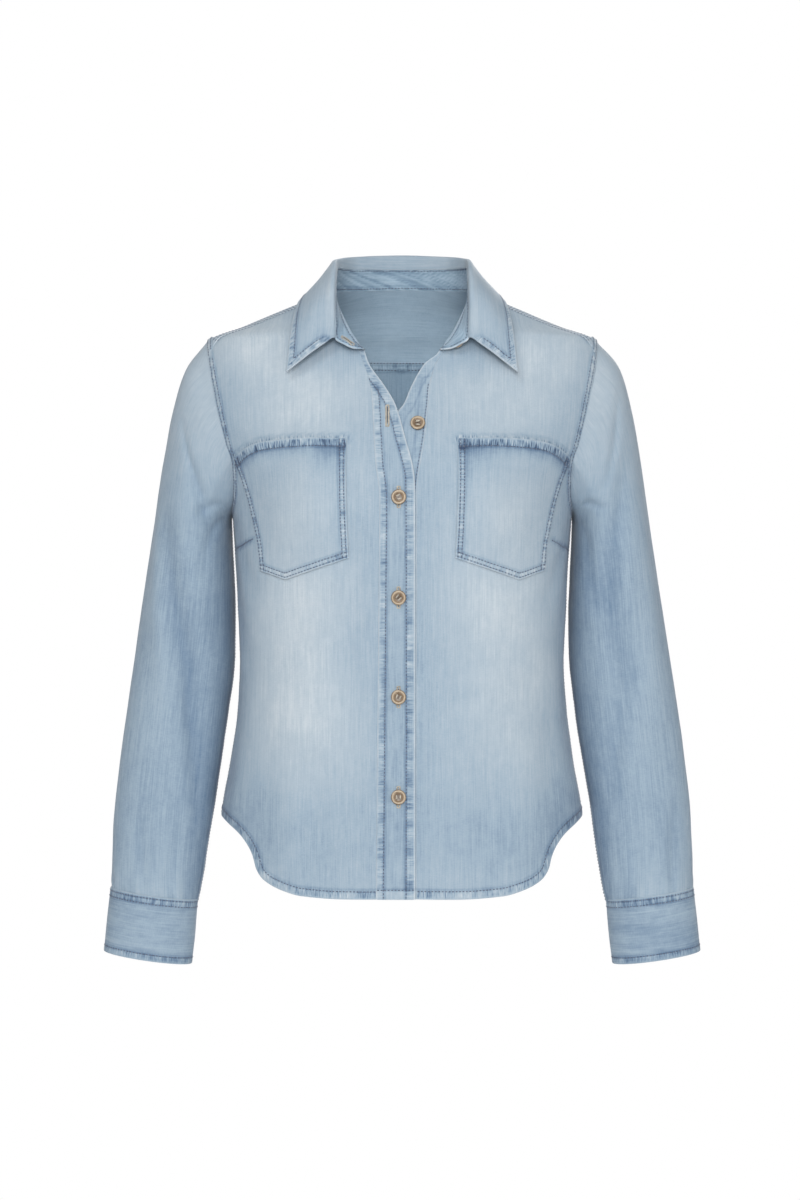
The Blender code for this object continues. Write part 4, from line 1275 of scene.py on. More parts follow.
def face_tree(sheet, which=OUTSIDE):
    """A face of the sheet, ready to be asked for its nearest place."""
    quads = sheet.quads()
    quads = quads[:, ::-1] if sheet.turned != (which == INSIDE) else quads
    return BVHTree.FromPolygons(sheet.face_points(which).reshape(-1, 3).tolist(), quads.tolist())


def laid_on(tree, points):
    """Places and outward normals on the face nearest to each point."""
    found = [tree.find_nearest(Vector(point)) for point in points]
    return np.array([hit[0] for hit in found]), np.array([hit[1] for hit in found])


def row_on_face(tree, line, away):
    """The line moved that far from itself along the face, to the side where the cloth is."""
    fine = evenly(line, 1.0)
    tangent = unit(np.gradient(fine, axis=0))
    _, normals = laid_on(tree, fine)
    aside = unit(np.cross(normals, tangent))
    best = None
    for sign in (1, -1):
        wanted = fine + sign * away * aside
        places, normals = laid_on(tree, wanted)
        miss = np.linalg.norm(places - wanted, axis=1)
        if best is None or np.median(miss) < np.median(best[2]):
            best = (places, normals, miss)
    places, _, miss = best
    gap, _ = beside(places, fine)
    kept = places[(miss < ROW_MISS) & (gap > away - ROW_SLACK)]
    return kept if len(kept) > 3 else None


ROW_MISS, ROW_SLACK = 2.0, 0.3  # a row leaves out the places off the cloth, and those too near its line


def stitch_shapes(places, normals, tangents, length, radius):
    """One closed lozenge of thread for each place, as joined arrays of points and faces."""
    count = len(places)
    sides = np.linspace(0, 2 * math.pi, STITCH_SIDES, endpoint=False)
    across = unit(np.cross(normals, tangents))
    points = []
    for along, girth, sunk in STITCH_RINGS:
        centre = places + tangents * along * length + normals * (STITCH_PROUD - sunk * radius)
        for side in sides:
            around = across * math.cos(side) + normals * math.sin(side)
            points.append(centre + around * radius * girth)
    points = np.stack(points, axis=1)
    faces = []
    for ring_number in range(len(STITCH_RINGS) - 1):
        for k in range(STITCH_SIDES):
            a, b = ring_number * STITCH_SIDES + k, ring_number * STITCH_SIDES + (k + 1) % STITCH_SIDES
            faces.append((a, b, b + STITCH_SIDES, a + STITCH_SIDES))
    faces = np.array(faces)[None] + (np.arange(count) * points.shape[1])[:, None, None]
    return points.reshape(-1, 3), faces.reshape(-1, 4)


def stitches_of(sheet):
    """All the stitches of a sheet's rows."""
    parts = []
    for which, face in sheet.faces.items():
        tree = face_tree(sheet, which) if face.rows else None
        for line, away in face.rows:
            row = row_on_face(tree, line, away)
            if row is None:
                continue
            spots = evenly(row, STITCH_PITCH)
            spots = (spots[1:] + spots[:-1]) / 2
            places, normals = laid_on(tree, spots)
            tangents = unit(np.gradient(spots, axis=0))
            parts.append(stitch_shapes(places, normals, tangents, STITCH_LENGTH, STITCH_RADIUS))
    return parts


def joined(name, parts, finish):
    """One object from many arrays of points and faces."""
    points, faces, total = [], [], 0
    for places, quads in parts:
        points.append(places)
        faces.append(quads + total)
        total += len(places)
    return mesh_from(name, np.concatenate(points), np.concatenate(faces), None, finish)


# The pieces of the shirt

DART_ENDS, DART_POINTS = ((169, -251.5), (145, -241)), 13
SEAM_STEPS = 60  # of a seam's line that isn't an edge of its grid
SHOULDER_SEAM_END = 184.0  # the shoulder's seams run under the armhole's rows from here
HIDDEN_TUCK, YOKE_SINK = 1.6, 0.5  # how far a panel runs on under the seam over its edge, and sinks there
SHEET_WALL = 1.0
LEAF_WALL, STAND_WALL = 1.7, 1.6


def torso_line(side, line):
    return front(side, line[:, 0], line[:, 1])


def sew_each(sheet, side, *seams):
    """Sews each (line, seam, seed) on a side."""
    for line, seam, seed in seams:
        sew(sheet, line, seam, seed + side)


def torso_sheet(name, points, wall):
    sheet = Sheet(name, points, wall)
    sheet.grain_by(arc_of(points), points[..., 2])
    sheet.lift += ease(points)
    sheet.faces[OUTSIDE].wash += torso_fade_and_shade(points)
    return sheet


def front_sheet(side, label):
    grid = front_grid(side)
    points = front(side, grid[..., 0], grid[..., 1])
    for edge, sink in (("first column", 0.3), ("last row", YOKE_SINK), ("last column", 0.0)):
        points = tucked(points, edge, HIDDEN_TUCK, sink)
    sheet = torso_sheet(f"front_{label}", points, SHEET_WALL)
    _, arm_z = shoulder_seam_ends()
    foot_x = float(placket_x(side, HEM[0].z, "border"))
    arm, hem = torso_line(side, arm_line("front", ARMPIT_Z, arm_z)), torso_line(side, hem_line(foot_x))
    sew_each(sheet, side, (arm, FELLED, 20), (hem, HEM_SEAM, 30))
    dart = torso_line(side, line_at(*np.linspace(*DART_ENDS, DART_POINTS).T))
    sew(sheet, dart, DART, 40)
    mouth = torso_line(side, line_at(*outline(POCKET_TOP, even(SEAM_STEPS)).T))
    shoulder = torso_line(side, divide(shoulder_line(), even(SEAM_STEPS)))
    shoulder = shoulder[abs(shoulder[:, 0]) < SHOULDER_SEAM_END]
    sew_each(sheet, side, (mouth, ABOVE_POCKET, 44), (shoulder, SHOULDER, 46))
    return sheet


def placket_sheet(side, label):
    grid = placket_grid(side)
    points = front(side, grid[..., 0], grid[..., 1], (BAND - PANEL) / 2)
    sheet = torso_sheet(f"placket_{label}", points, PLACKET_WALL)
    sheet.edge_wear = PLACKET_WEAR
    worn_and_shaded = sheet.faces[OUTSIDE]
    # painted shade on the under placket, which lies beneath the upper one
    worn_and_shaded.wash -= PLACKET_SHADE * (side == LEFT)
    width = np.linalg.norm(points[:, -1] - points[:, 0], axis=-1)
    border, edge = (UNDER_BORDER, UNDER_EDGE) if side == LEFT else (PLACKET_BORDER, PLACKET_EDGE)
    border_line, edge_line = points[width > BORDER_ROW_FROM, -1], points[width > EDGE_ROW_FROM, 0]
    sew_each(sheet, side, (border_line, border, 50), (edge_line, edge, 60), (points[0], PLACKET_FOOT, 66))
    for column_number, width, amount in ((-1, 0.8, BORDER_WHITE), (0, 0.9, EDGE_WHITE)):
        gap, _ = beside(points, points[:, column_number])
        worn_and_shaded.wash += amount * near(gap, width)
    return sheet


def outline(points, shares):
    """A smooth line through those points, divided at those shares."""
    count = np.linspace(0, len(points) - 1, OUTLINE_FINE * len(points))
    dense = np.stack([spline(range(len(points)), values, count) for values in zip(*points)], axis=1)
    return divide(dense, shares, as_it_is)


OUTLINE_FINE = 8
PLACKET_WALL, PLACKET_SHADE, PLACKET_WEAR, BORDER_WHITE, EDGE_WHITE = 1.8, 0.04, 0.34, 0.03, 0.20
BORDER_ROW_FROM, EDGE_ROW_FROM = 17.5, 9.5  # the placket's width below which its rows of stitches end
POCKET_SEWN, POCKET_FULL, POCKET_GAPE = 0.5, 1.2, 1.5  # how far its inner face stands off the panel


def pocket_sheet(side, label):
    foot = divide(np.array(POCKET_FOOT, float), even(POCKET_ACROSS), as_it_is)
    top = outline(POCKET_TOP, even(POCKET_ACROSS))
    sides = (outline(line, spread(POCKET_UP, "start", "end")) for line in (POCKET_INNER, POCKET_OUTER))
    grid = patch(foot, top, *sides)
    x, z = grid[..., 0], grid[..., 1]
    turn = turn_at(x, z)
    flat = front(side, turn, z)
    from_sewn, _ = beside(flat, np.concatenate([flat[::-1, 0], flat[0, 1:], flat[1:, -1]]))
    from_mouth, _ = beside(flat, flat[-1])
    stand_off = POCKET_SEWN + POCKET_FULL * ramp(from_sewn, 5, 40)
    stand_off = stand_off + POCKET_GAPE * ramp(from_sewn, 4, 30) * near(from_mouth, 22)
    points = front(side, turn, z, PANEL / 2 + POCKET / 2 + stand_off)
    sheet = torso_sheet(f"pocket_{label}", points, POCKET)
    wash = sheet.faces[OUTSIDE].wash
    for fade in POCKET_FADES:
        wash += fade.amount * near(off_spot(abs(x), z, fade), 1.0)
    wash -= MOUTH_SHADE * near(from_mouth - 8, 8) + SEWN_SHADE * near(from_sewn, 9) + POCKET_SHADE
    edges = (points[:, 0], points[0], points[:, -1])
    sew_each(sheet, side, *((line, POCKET_SIDE, 70 + 2 * i) for i, line in enumerate(edges)))
    sew(sheet, points[-1], POCKET_MOUTH, 76 + side)
    return sheet


POCKET_FADES = (Fade(95, -215, 34, 38, 0.15), Fade(68, -161, 16, 17, -0.13))
MOUTH_SHADE, SEWN_SHADE, POCKET_SHADE = 0.20, 0.06, 0.02


def back_sheet():
    grid = back_grid()
    left, right = (hung(side, grid[..., 0], grid[..., 1]) for side in (LEFT, RIGHT))
    left[:, 0, 0] = 0
    whole = tucked(np.concatenate([right[:, :0:-1], left], axis=1), "last row", HIDDEN_TUCK, YOKE_SINK)
    sheet = torso_sheet("back", whole, SHEET_WALL)
    sheet.grain_by(arc_from_back(whole), whole[..., 2])
    sheet.faces[INSIDE].wash += BACK_INNER_MOTTLE * cloudy(whole, 30, 17) - BACK_INNER_SHADE
    arm = divide(arm_line("back", ARMPIT_Z, YOKE_Z), even(SEAM_STEPS))
    hem = divide(hem_line(CENTRE_BACK, back=True), even(BACK_HEM_STEPS))
    edge = divide(side_line(), even(SEAM_STEPS))
    for side in (LEFT, RIGHT):
        for line, seam, seed in ((arm, FELLED, 80), (hem, HEM_SEAM, 82), (edge, SIDE_SEAM, 84)):
            sew(sheet, on_body(line) * (side, 1, 1), seam, seed + side)
    for side in (LEFT, RIGHT):
        inside = on_body(yoke_stretch(even(SEAM_STEPS))) * (side, 1, 1)
        sew(sheet, inside, INNER_YOKE, 88 + side, INSIDE)
    return sheet


BACK_HEM_STEPS, BACK_INNER_MOTTLE, BACK_INNER_SHADE = 80, 0.1, 0.16


def yoke_sheet():
    whole = mirrored(yoke_grid())
    sheet = Sheet("yoke", whole, SHEET_WALL, centre=whole * (1, 0, 0) + YOKE_CENTRE)
    x, y, z = np.moveaxis(whole, -1, 0)
    sheet.grain_by(y - z, x)
    sheet.lift += YOKE_EASE * ease(whole)
    sheet.faces[OUTSIDE].wash += YOKE_WASH + mottle(whole)
    sheet.faces[OUTSIDE].wash += YOKE_FADE.amount * near(off_spot(abs(x), y, YOKE_FADE), 1.0)
    sheet.faces[INSIDE].wash += YOKE_INNER_WASH + mottle(whole)
    sew(sheet, whole[0], YOKE_SEAM, 90)
    front_from = whole.shape[1] // 2 + BACK_NECK_STEPS
    for side in (LEFT, RIGHT):
        shoulder = whole[-1, ::side][front_from:]
        shoulder = shoulder[abs(shoulder[:, 0]) < SHOULDER_SEAM_END]
        sew_each(sheet, side, (shoulder, YOKE_SEAM, 92), (whole[:, ::side][:, -1], FELLED, 94))
    return sheet


YOKE_WASH, YOKE_INNER_WASH, YOKE_EASE = 0.68, -0.04, 0.5
YOKE_FADE = Fade(150, 0, 40, 30, 0.10)
YOKE_CENTRE = (0, 20, -60)  # what its outside faces away from, in Y and Z


def sleeve_sheet(side, label):
    points, angle, share, deep = sleeve_grid(side)
    middle = np.broadcast_to(points.mean(axis=1, keepdims=True), points.shape)
    sheet = Sheet(f"sleeve_{label}", points, SHEET_WALL, closed=True, centre=middle)
    across = steps_along(points, 1)
    sheet.grain_by(across, -SLEEVE_RUN[1] * np.concatenate([share, share[-1:] + 0.005]))
    share, deep = (np.concatenate([rows, rows[-1:]]) for rows in (share, deep))
    gather = near(share - 1, GATHER_REACH) * wave(across, GATHER_PITCH, 101 + side)
    sheet.lift += ease(points) * ramp(share, 0, 0.05) * (1 - ramp(share, 0.97, 1)) + CUFF_GATHER * gather
    lit = np.cos(angle - SLEEVE_LIT)
    wash = sheet.faces[OUTSIDE].wash
    # painted shade in the sleeve's folds and painted highlight on its ridges, by SLEEVE_SHADE for each
    # millimetre
    wash += SLEEVE_WASH + SLEEVE_MOTTLE * mottle(points) - SLEEVE_SHADE * deep + GATHER_FADE * gather
    # painted highlight on the side of the sleeve that faces the light, more near its cap
    wash += lit * (LIT_HIGHLIGHT + CAP_HIGHLIGHT * near(share, 0.16))
    # the sleeve's darker bands, and its painted shade and painted highlight
    for fade in SLEEVE_FADES_AND_SHADE:
        wash += fade.amount * near(share - fade.share, fade.length) * near(angle - fade.turn, fade.width)
    wash += STREAKS_FADE * wave(across, 9, 103 + side) * near(share - 0.93, 0.12)
    under, slit_edge = (points[:, int(np.argmin(abs(angle[0] - turn)))] for turn in (math.pi, CUFF_END))
    sew_each(sheet, side, (under, SIDE_SEAM, 100), (slit_edge[share[:, 0] > SLIT_SHARE], SLIT, 105))
    sheet.faces[INSIDE].wash += SLEEVE_INNER_WASH
    return sheet


SLEEVE_WASH, SLEEVE_MOTTLE, SLEEVE_SHADE, SLEEVE_INNER_WASH = 0.60, 0.65, 0.021, 0.05
SLEEVE_LIT, LIT_HIGHLIGHT, CAP_HIGHLIGHT = 0.9, 0.03, 0.10  # the angle that faces the light most, how much painted highlight it gets, and how much more at the cap
CUFF_GATHER, GATHER_REACH, GATHER_PITCH, GATHER_FADE = 0.55, 0.03, 7, 0.07
STREAKS_FADE = 0.05
ALL = 1e6  # a reach that takes in the whole sleeve
# How the sleeve is painted lighter or darker, by share of its length and by turn: darker about its middle and
# towards the cuff, painted shade along the armhole seam and on its inner side by the body, and painted
# highlight on its front.
SleeveFade = namedtuple("SleeveFade", "amount share length turn width")
SLEEVE_FADES_AND_SHADE = rows_of(
    SleeveFade,
    (-0.155, 0.50, 0.25, 0, ALL),
    (-0.14, 0.88, 0.16, 0, ALL),
    (-0.10, 0, 0.006, 0, ALL),
    (-0.11, 0, ALL, 2.9, 0.62),
    (-0.08, 0, ALL, 3.6, 0.50),
    (0.02, 0.55, 0.30, 1.5, 0.50),
)
SLIT = Seam(2.0, -0.35, (2.0, 8.0), 0.15, 6.0, 0.08, -0.06, 0.3)
SLIT_SHARE = 0.80


def cuff_sheet(side, label):
    points = cuff_grid() * (side, 1, 1)
    middle = np.broadcast_to(ring_centre(CUFF, 1.0) * (side, 1, 1), points.shape)
    sheet = Sheet(f"cuff_{label}", points, CUFF_WALL, centre=middle)
    sheet.grain_from_grid()
    sheet.lift += lumps(points, CUFF_EASE)
    slanted = points[..., 2] + 0.12 * points[..., 0]
    sheet.faces[OUTSIDE].wash += CUFF_WASH + mottle(points) + CUFF_STREAKS * wave(slanted, 5, 112 + side)
    rows = (points[0], CUFF_TOP, 120), (points[-1], CUFF_FOOT, 122)
    sew_each(sheet, side, *rows, (points[:, 0], CUFF_SIDE, 124), (points[:, -1], CUFF_SIDE, 126))
    return sheet


CUFF_WALL, CUFF_WASH, CUFF_STREAKS = 1.9, 0.47, 0.05
CUFF_EASE = ((0.35, 22, 110), (0.25, 60, 111))


def stand_sheet():
    whole = mirrored(stand_grid()[:, ::-1])
    sheet = Sheet("collar_stand", whole, STAND_WALL)
    sheet.grain_from_grid()
    sheet.lift += 0.25 * cloudy(whole, 14, 130)
    slanted = wave(sheet.grain[..., 1] + STAND_SLANT * sheet.grain[..., 0], 3.6, 133)
    for which, wash in ((OUTSIDE, STAND_WASH), (INSIDE, STAND_WASH - INNER_WASH)):
        face = sheet.faces[which]
        face.wash += wash + mottle(whole) + 0.08 * cloudy(whole, 9, 131) + STAND_STREAKS * slanted
        face.rise += STAND_PUCKER * slanted
        for line, seed in ((whole[-1], 132), (whole[0], 134), (whole[:, 0], 136), (whole[:, -1], 136)):
            sew(sheet, line, STAND_SEAM, seed, which)
    return sheet


STAND_WASH, STAND_PUCKER, STAND_SLANT, STAND_STREAKS = 0.54, 0.30, 1.2, 0.19


def leaf_sheet():
    whole = mirrored(leaf_grid()[:, ::-1])
    sheet = Sheet("collar_leaf", whole, LEAF_WALL, centre=whole * (0.55, 0.55, 1) + (0, 0, -14))
    sheet.grain_from_grid()
    sheet.lift += 0.35 * cloudy(whole, 24, 140)
    turned = whole.shape[0] // 4
    edge = np.concatenate([whole[turned:, 0], whole[-1, 1:], whole[turned:-1, -1][::-1]])
    from_edge, _ = beside(whole, edge)
    from_roll, _ = beside(whole, whole[int(turned * 0.8)])
    wash = sheet.faces[OUTSIDE].wash
    wash += LEAF_WASH + mottle(whole) + LEAF_FADE * ramp(from_edge, 8, 20)
    wash += LEAF_EDGE_FADE * near(from_edge, 1.4) + ROLL_FADE * near(from_roll, 3.0)
    sew(sheet, edge, LEAF_SEAM, 142)
    sheet.faces[INSIDE].wash += LEAF_WASH - INNER_WASH
    return sheet


LEAF_WASH, LEAF_FADE, LEAF_EDGE_FADE, ROLL_FADE = 0.56, 0.06, 0.10, 0.08


# Buttons and buttonholes

HOLE_OFF, HOLE_RADIUS, HOLE_DEEP = 1.75, 0.85, 1.6
LEAST_BACK = 0.35  # what is left under the holes
BUTTON_SIDES, HOLE_SIDES = 48, 16
THREAD_RADIUS = 0.42
BUTTON_FACE = 0.52
# The button's half section from the middle of its face over its rim to its back, as shares of its radius and
# thickness
Turned = namedtuple("Turned", "radius height")
BUTTON_SECTION = rows_of(
    Turned,
    (0.30, BUTTON_FACE),
    (0.50, 0.56),
    (0.60, 0.66),
    (0.66, 0.86),
    (0.72, 0.97),
    (0.82, 1.00),
    (0.92, 0.95),
    (0.98, 0.80),
    (1.00, 0.60),
    (0.97, 0.40),
    (0.86, 0.14),
    (0.70, 0.02),
)


def turned_form(name, rings, sides, centres=((0, 0),)):
    """An object of round forms on those centres, through rings of (radius, height) from the top down."""
    points, faces = [], []
    for x, y in centres:
        start = len(points)
        for reach, height in rings:
            for angle in np.linspace(0, math.tau, sides, endpoint=False):
                place = (x + reach * math.cos(angle), y + reach * math.sin(angle), height)
                points.append(Vector(place) * MM)
        for i in range(start, start + (len(rings) - 1) * sides, sides):
            for k in range(sides):
                a, b = i + k, i + (k + 1) % sides
                faces.append((a, a + sides, b + sides, b))
        faces.append(tuple(range(start, start + sides)))
        faces.append(tuple(range(len(points) - 1, len(points) - 1 - sides, -1)))
    mesh = bpy.data.meshes.new(name)
    mesh.from_pydata(points, [], faces)
    return added(name, mesh)


def button_body(radius):
    """A turned four-hole button on its own axis Z, in metres, with its back at the origin."""
    scale = radius / BUTTON_RADIUS
    thick = BUTTON_THICK * scale
    rings = [(row.radius * radius, row.height * thick) for row in BUTTON_SECTION]
    whole = turned_form("button_form", rings, BUTTON_SIDES)
    ends = (thick * 1.5, max(BUTTON_FACE * thick - HOLE_DEEP * scale, LEAST_BACK))
    rings = [(HOLE_RADIUS * scale, end) for end in ends]
    centres = itertools.product((-HOLE_OFF * scale, HOLE_OFF * scale), repeat=2)
    pegs = turned_form("holes", rings, HOLE_SIDES, centres)
    cut = whole.modifiers.new("holes", "BOOLEAN")
    cut.operation = "DIFFERENCE"
    cut.object = pegs
    cut.solver = "EXACT"
    pierced = bpy.data.meshes.new_from_object(whole.evaluated_get(bpy.context.evaluated_depsgraph_get()))
    for made in (whole, pegs):
        bpy.data.objects.remove(made, do_unlink=True)
    pierced.polygons.foreach_set("use_smooth", np.ones(len(pierced.polygons), dtype=bool))
    pierced.set_sharp_from_angle(angle=math.radians(50))
    return pierced


def facing(place, normal, spin):
    """The matrix that sets a button on its place, its axis along the normal."""
    turn = Vector((0, 0, 1)).rotation_difference(Vector(normal)).to_matrix().to_4x4()
    return Matrix.Translation(Vector(place) * MM) @ turn @ Matrix.Rotation(spin, 4, "Z")


def button_stitches(matrix, scale):
    """Two bars of thread across the holes."""
    turn = np.array(matrix.to_3x3())
    origin = np.array(matrix.translation) / MM
    parts = []
    for offset, slip in itertools.product((-HOLE_OFF, HOLE_OFF), (-BAR_SLIP, BAR_SLIP)):
        place = origin + turn @ (0, (offset + slip) * scale, BAR_HEIGHT * BUTTON_THICK * scale)
        tangent, normal = unit(turn @ (1.0, 0.06 * offset, 0)), turn @ (0, 0, 1.0)
        shape = (place[None], normal[None], tangent[None])
        parts.append(stitch_shapes(*shape, (2 * HOLE_OFF + BAR_OVER) * scale, THREAD_RADIUS * scale))
    return parts


BAR_SLIP, BAR_HEIGHT, BAR_OVER = 0.3, 0.60, 1.2  # off the holes' middles, up the button, and past the holes
BUTTON_OFF = {"front": 0.35, "neck": 0.3, "cuff": 0.2}  # between a button's back and the cloth


def front_places():
    """CAD node, place and outward normal of each front button."""
    off = (BAND - PANEL) / 2 + BAND / 2 + BUTTON_OFF["front"]
    places = [(LEFT, *OPEN_BUTTON)] + [(RIGHT, BUTTON_LINE, z) for z in BUTTON_HEIGHTS]
    for i, (side, x, z) in enumerate(places):
        turn, z = turn_at(x, z), np.array(z)
        normal = outward(turn, z) * (side, 1, 1)
        yield f"button_{i + 1}", front(side, turn, z, off) + normal * ease(front(side, turn, z)), normal


def neck_place():
    """Where the collar's button is on the wearer's left, its outward normal, and the way along the stand."""
    share, height = NECK_BUTTON
    seam = neck_line_to_back()
    close = np.array([share - 0.03, share, share + 0.03])
    foot, top = on_body(read_line(seam, shares_of(on_body(seam)), close)), collar_line("stand", close)
    middle = mix(foot, top, height)
    normal = unit(np.cross(middle[2] - middle[0], top[1] - foot[1]))
    return middle[1] + normal * (BAND / 2 + BUTTON_OFF["neck"]), normal, unit(middle[2] - middle[0])


def cuff_place():
    """Where the left cuff's button is, and its outward normal."""
    around = ring(CUFF, 1.0, CUFF_BUTTON + 0.05) - ring(CUFF, 1.0, CUFF_BUTTON - 0.05)
    normal = unit(np.cross(ring(CUFF, 0.5, CUFF_BUTTON) - ring(CUFF, 1.5, CUFF_BUTTON), around))
    place = ring(CUFF, 1.0, CUFF_BUTTON)
    out = unit(place - ring_centre(CUFF, 1.0)) * (cuff_rise(1) + CUFF_OUT)
    return place + out + normal * (BAND / 2 + BUTTON_OFF["cuff"]), normal


def buttonhole(tree, middle, along, length):
    """A slit worked with thread on a face: two rows of short bars, then a tack at each end."""
    along = unit(along)
    _, normal = laid_on(tree, [middle])
    aside = unit(np.cross(normal[0], along))
    places, tangents = [], []
    for t, side in itertools.product(np.linspace(-0.5, 0.5, HOLE_BARS), (-1, 1)):
        places.append(middle + along * t * length + aside * side * HOLE_HALF_WIDTH)
        tangents.append(aside + along * BAR_SLANT * side)
    for t in (-TACK_AT, TACK_AT):
        places.append(middle + along * t * length)
        tangents.append(aside)
    places, normals = laid_on(tree, places)
    thread = (places, normals, unit(np.array(tangents)))
    bars, tacks = ([rows[some] for rows in thread] for some in (slice(0, -2), slice(-2, None)))
    return [stitch_shapes(*bars, BAR_LENGTH, BAR_GIRTH * length / HOLE_BARS), stitch_shapes(*tacks, *TACK)]


HOLE_BARS = 15  # stitches along one side of a buttonhole
HOLE_HALF_WIDTH, BAR_SLANT, BAR_LENGTH, BAR_GIRTH = 1.25, 0.15, 1.9, 0.62
TACK_AT, TACK = 0.56, (4.4, 0.6)
SLIT_GIRTH = 0.32


def slit(tree, middle, along, length):
    """Painted shadow in the gap of a buttonhole: a dark, long thin lozenge."""
    places, normals = laid_on(tree, [middle])
    return stitch_shapes(places, normals, unit(along)[None], length, SLIT_GIRTH)


def hole_places(sheets):
    """For each buttonhole the face that it is on, its middle, the way along it, and its length."""
    tree = face_tree(sheets["placket_right"])
    for x, z, length in [OPEN_HOLE] + [(BUTTON_LINE, z, HOLE_LENGTH) for z in BUTTON_HEIGHTS]:
        middle, upper = (front(RIGHT, turn_at(x, at), np.array(at), BAND) for at in (z, z + 5))
        yield tree, middle, upper - middle, length
    place, _, along = neck_place()
    flip = (RIGHT, 1, 1)
    yield face_tree(sheets["collar_stand"], INSIDE), place * flip, along * flip, NECK_HOLE_LENGTH
    place, _ = cuff_place()
    around = ring(CUFF, 1.0, CUFF_BUTTON + 0.1) - ring(CUFF, 1.0, CUFF_BUTTON)
    for side, label in SIDES:
        flip = (side, 1, 1)
        yield face_tree(sheets[f"cuff_{label}"]), place * flip, around * flip, CUFF_HOLE_LENGTH


HOLE_LENGTH, NECK_HOLE_LENGTH, CUFF_HOLE_LENGTH = 18.0, 13.0, 16.0
OPEN_HOLE = (14.0, -124.8, 20.0)  # x, z and length of the empty one


def make_buttons(horn):
    """Every button, and the thread that holds them."""
    radii = (BUTTON_RADIUS, NECK_BUTTON_RADIUS, CUFF_BUTTON_RADIUS)
    forms = {radius: button_body(radius) for radius in radii}
    for form in forms.values():
        form.materials.append(horn)
    spots = [(name, BUTTON_RADIUS, place, normal) for name, place, normal in front_places()]
    spots.append(("button_neck", NECK_BUTTON_RADIUS, *neck_place()[:2]))
    place, normal = cuff_place()
    for side, label in SIDES:
        flip = (side, 1, 1)
        spots.append((f"button_cuff_{label}", CUFF_BUTTON_RADIUS, place * flip, normal * flip))
    threads = []
    for i, (name, radius, place, normal) in enumerate(spots):
        made = added(f"{name}_horn", forms[radius])
        made.matrix_world = facing(place, normal, spin=BUTTON_SPIN * i)
        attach(made, "root")
        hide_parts(name)
        threads += button_stitches(made.matrix_world, radius / BUTTON_RADIUS)
    return threads


BUTTON_SPIN = 0.4


# Materials


def linked(tree, kind, **inputs):
    """A node of that kind whose inputs, by name or as i and a number, are values or other nodes' outputs."""
    node = tree.nodes.new(kind)
    for name, value in inputs.items():
        socket = node.inputs[int(name[1:])] if name[1:].isdigit() else node.inputs[name]
        if isinstance(value, bpy.types.NodeSocket):
            tree.links.new(value, socket)
        else:
            socket.default_value = value
    return node


def maths(tree, operation, a, b=0.0):
    node = linked(tree, "ShaderNodeMath", i0=a, i1=b)
    node.operation = operation
    return node.outputs[0]


def plus(tree, total, more, amount):
    return maths(tree, "ADD", total, maths(tree, "MULTIPLY", more, amount))


def noise(tree, place, scale, detail, **inputs):
    made = linked(tree, "ShaderNodeTexNoise", Vector=place, Scale=scale, Detail=detail, **inputs)
    return made.outputs["Fac"]


def stretched(tree, source, across, along, detail=2.0):
    """Noise from -0.5 to 0.5 whose cells are that wide across the grain and that long along it, in metres."""
    scaled = linked(tree, "ShaderNodeMapping", Vector=source, Scale=(1 / across, 1 / along, 1))
    return maths(tree, "SUBTRACT", noise(tree, scaled.outputs[0], 1.0, detail, Roughness=0.55), 0.5)


def attribute(tree, name):
    node = tree.nodes.new("ShaderNodeAttribute")
    node.attribute_name = name
    return node.outputs["Fac"]


def colour_ramp(tree, factor, stops):
    node = linked(tree, "ShaderNodeValToRGB", Fac=factor)
    elements = node.color_ramp.elements
    while len(elements) < len(stops):
        elements.new(0.5)
    for element, (place, colour) in zip(elements, stops):
        element.position = place
        element.color = (*[linear(c) for c in colour], 1)
    return node.outputs["Color"]


def linear(value):
    """A colour value from 0 to 255 as the eye sees it, as light."""
    share = value / 255
    return share / 12.92 if share <= 0.04045 else ((share + 0.055) / 1.055) ** 2.4


def new_material(name, **values):
    """A material whose shader has those values on its own sockets. Underscores stand for spaces."""
    made = bpy.data.materials.new(name)
    made.use_nodes = True
    shader = made.node_tree.nodes["Principled BSDF"]
    for socket, value in values.items():
        shader.inputs[socket.replace("_", " ")].default_value = value
    return made, made.node_tree, shader


def finished(tree, shader, colour, height, strength, distance):
    """Links a material's colour, and its height as bump."""
    tree.links.new(colour, shader.inputs["Base Color"])
    bump = linked(tree, "ShaderNodeBump", Height=height, Strength=strength, Distance=distance)
    tree.links.new(bump.outputs[0], shader.inputs["Normal"])


# How dyed and faded denim looks at each share of its wash
DENIM_STOPS = [
    (0.00, (58, 74, 98)),
    (0.28, (104, 126, 149)),
    (0.52, (144, 162, 177)),
    (0.74, (166, 179, 189)),
    (1.00, (196, 203, 207)),
]
# and its inner face, where the white weft shows bluish in the shade
INNER_STOPS = [
    (0.00, (62, 84, 112)),
    (0.40, (131, 155, 175)),
    (0.70, (165, 187, 203)),
    (1.00, (192, 208, 219)),
]
DENIM = {"Roughness": 0.88, "Specular_IOR_Level": 0.2, "Sheen_Weight": 0.18, "Sheen_Roughness": 0.45}
STREAK, WIDE_STREAK, FLECK, BLOTCH = 0.34, 0.16, 0.18, 0.12  # how much each texture fades or darkens
STROKE = 0.95  # how much the strokes across roped seams fade or darken
STROKES = (("strokes_up", (0.0013, 0.010)), ("strokes_across", (0.010, 0.0013)))
TWILL_PITCH, TWILL_DEEP, TWILL_SLANT = 0.00095, 0.00007, 0.8
RIB_HEIGHT, STREAK_HEIGHT, FLECK_HEIGHT = 0.35, 2.2, 1.2


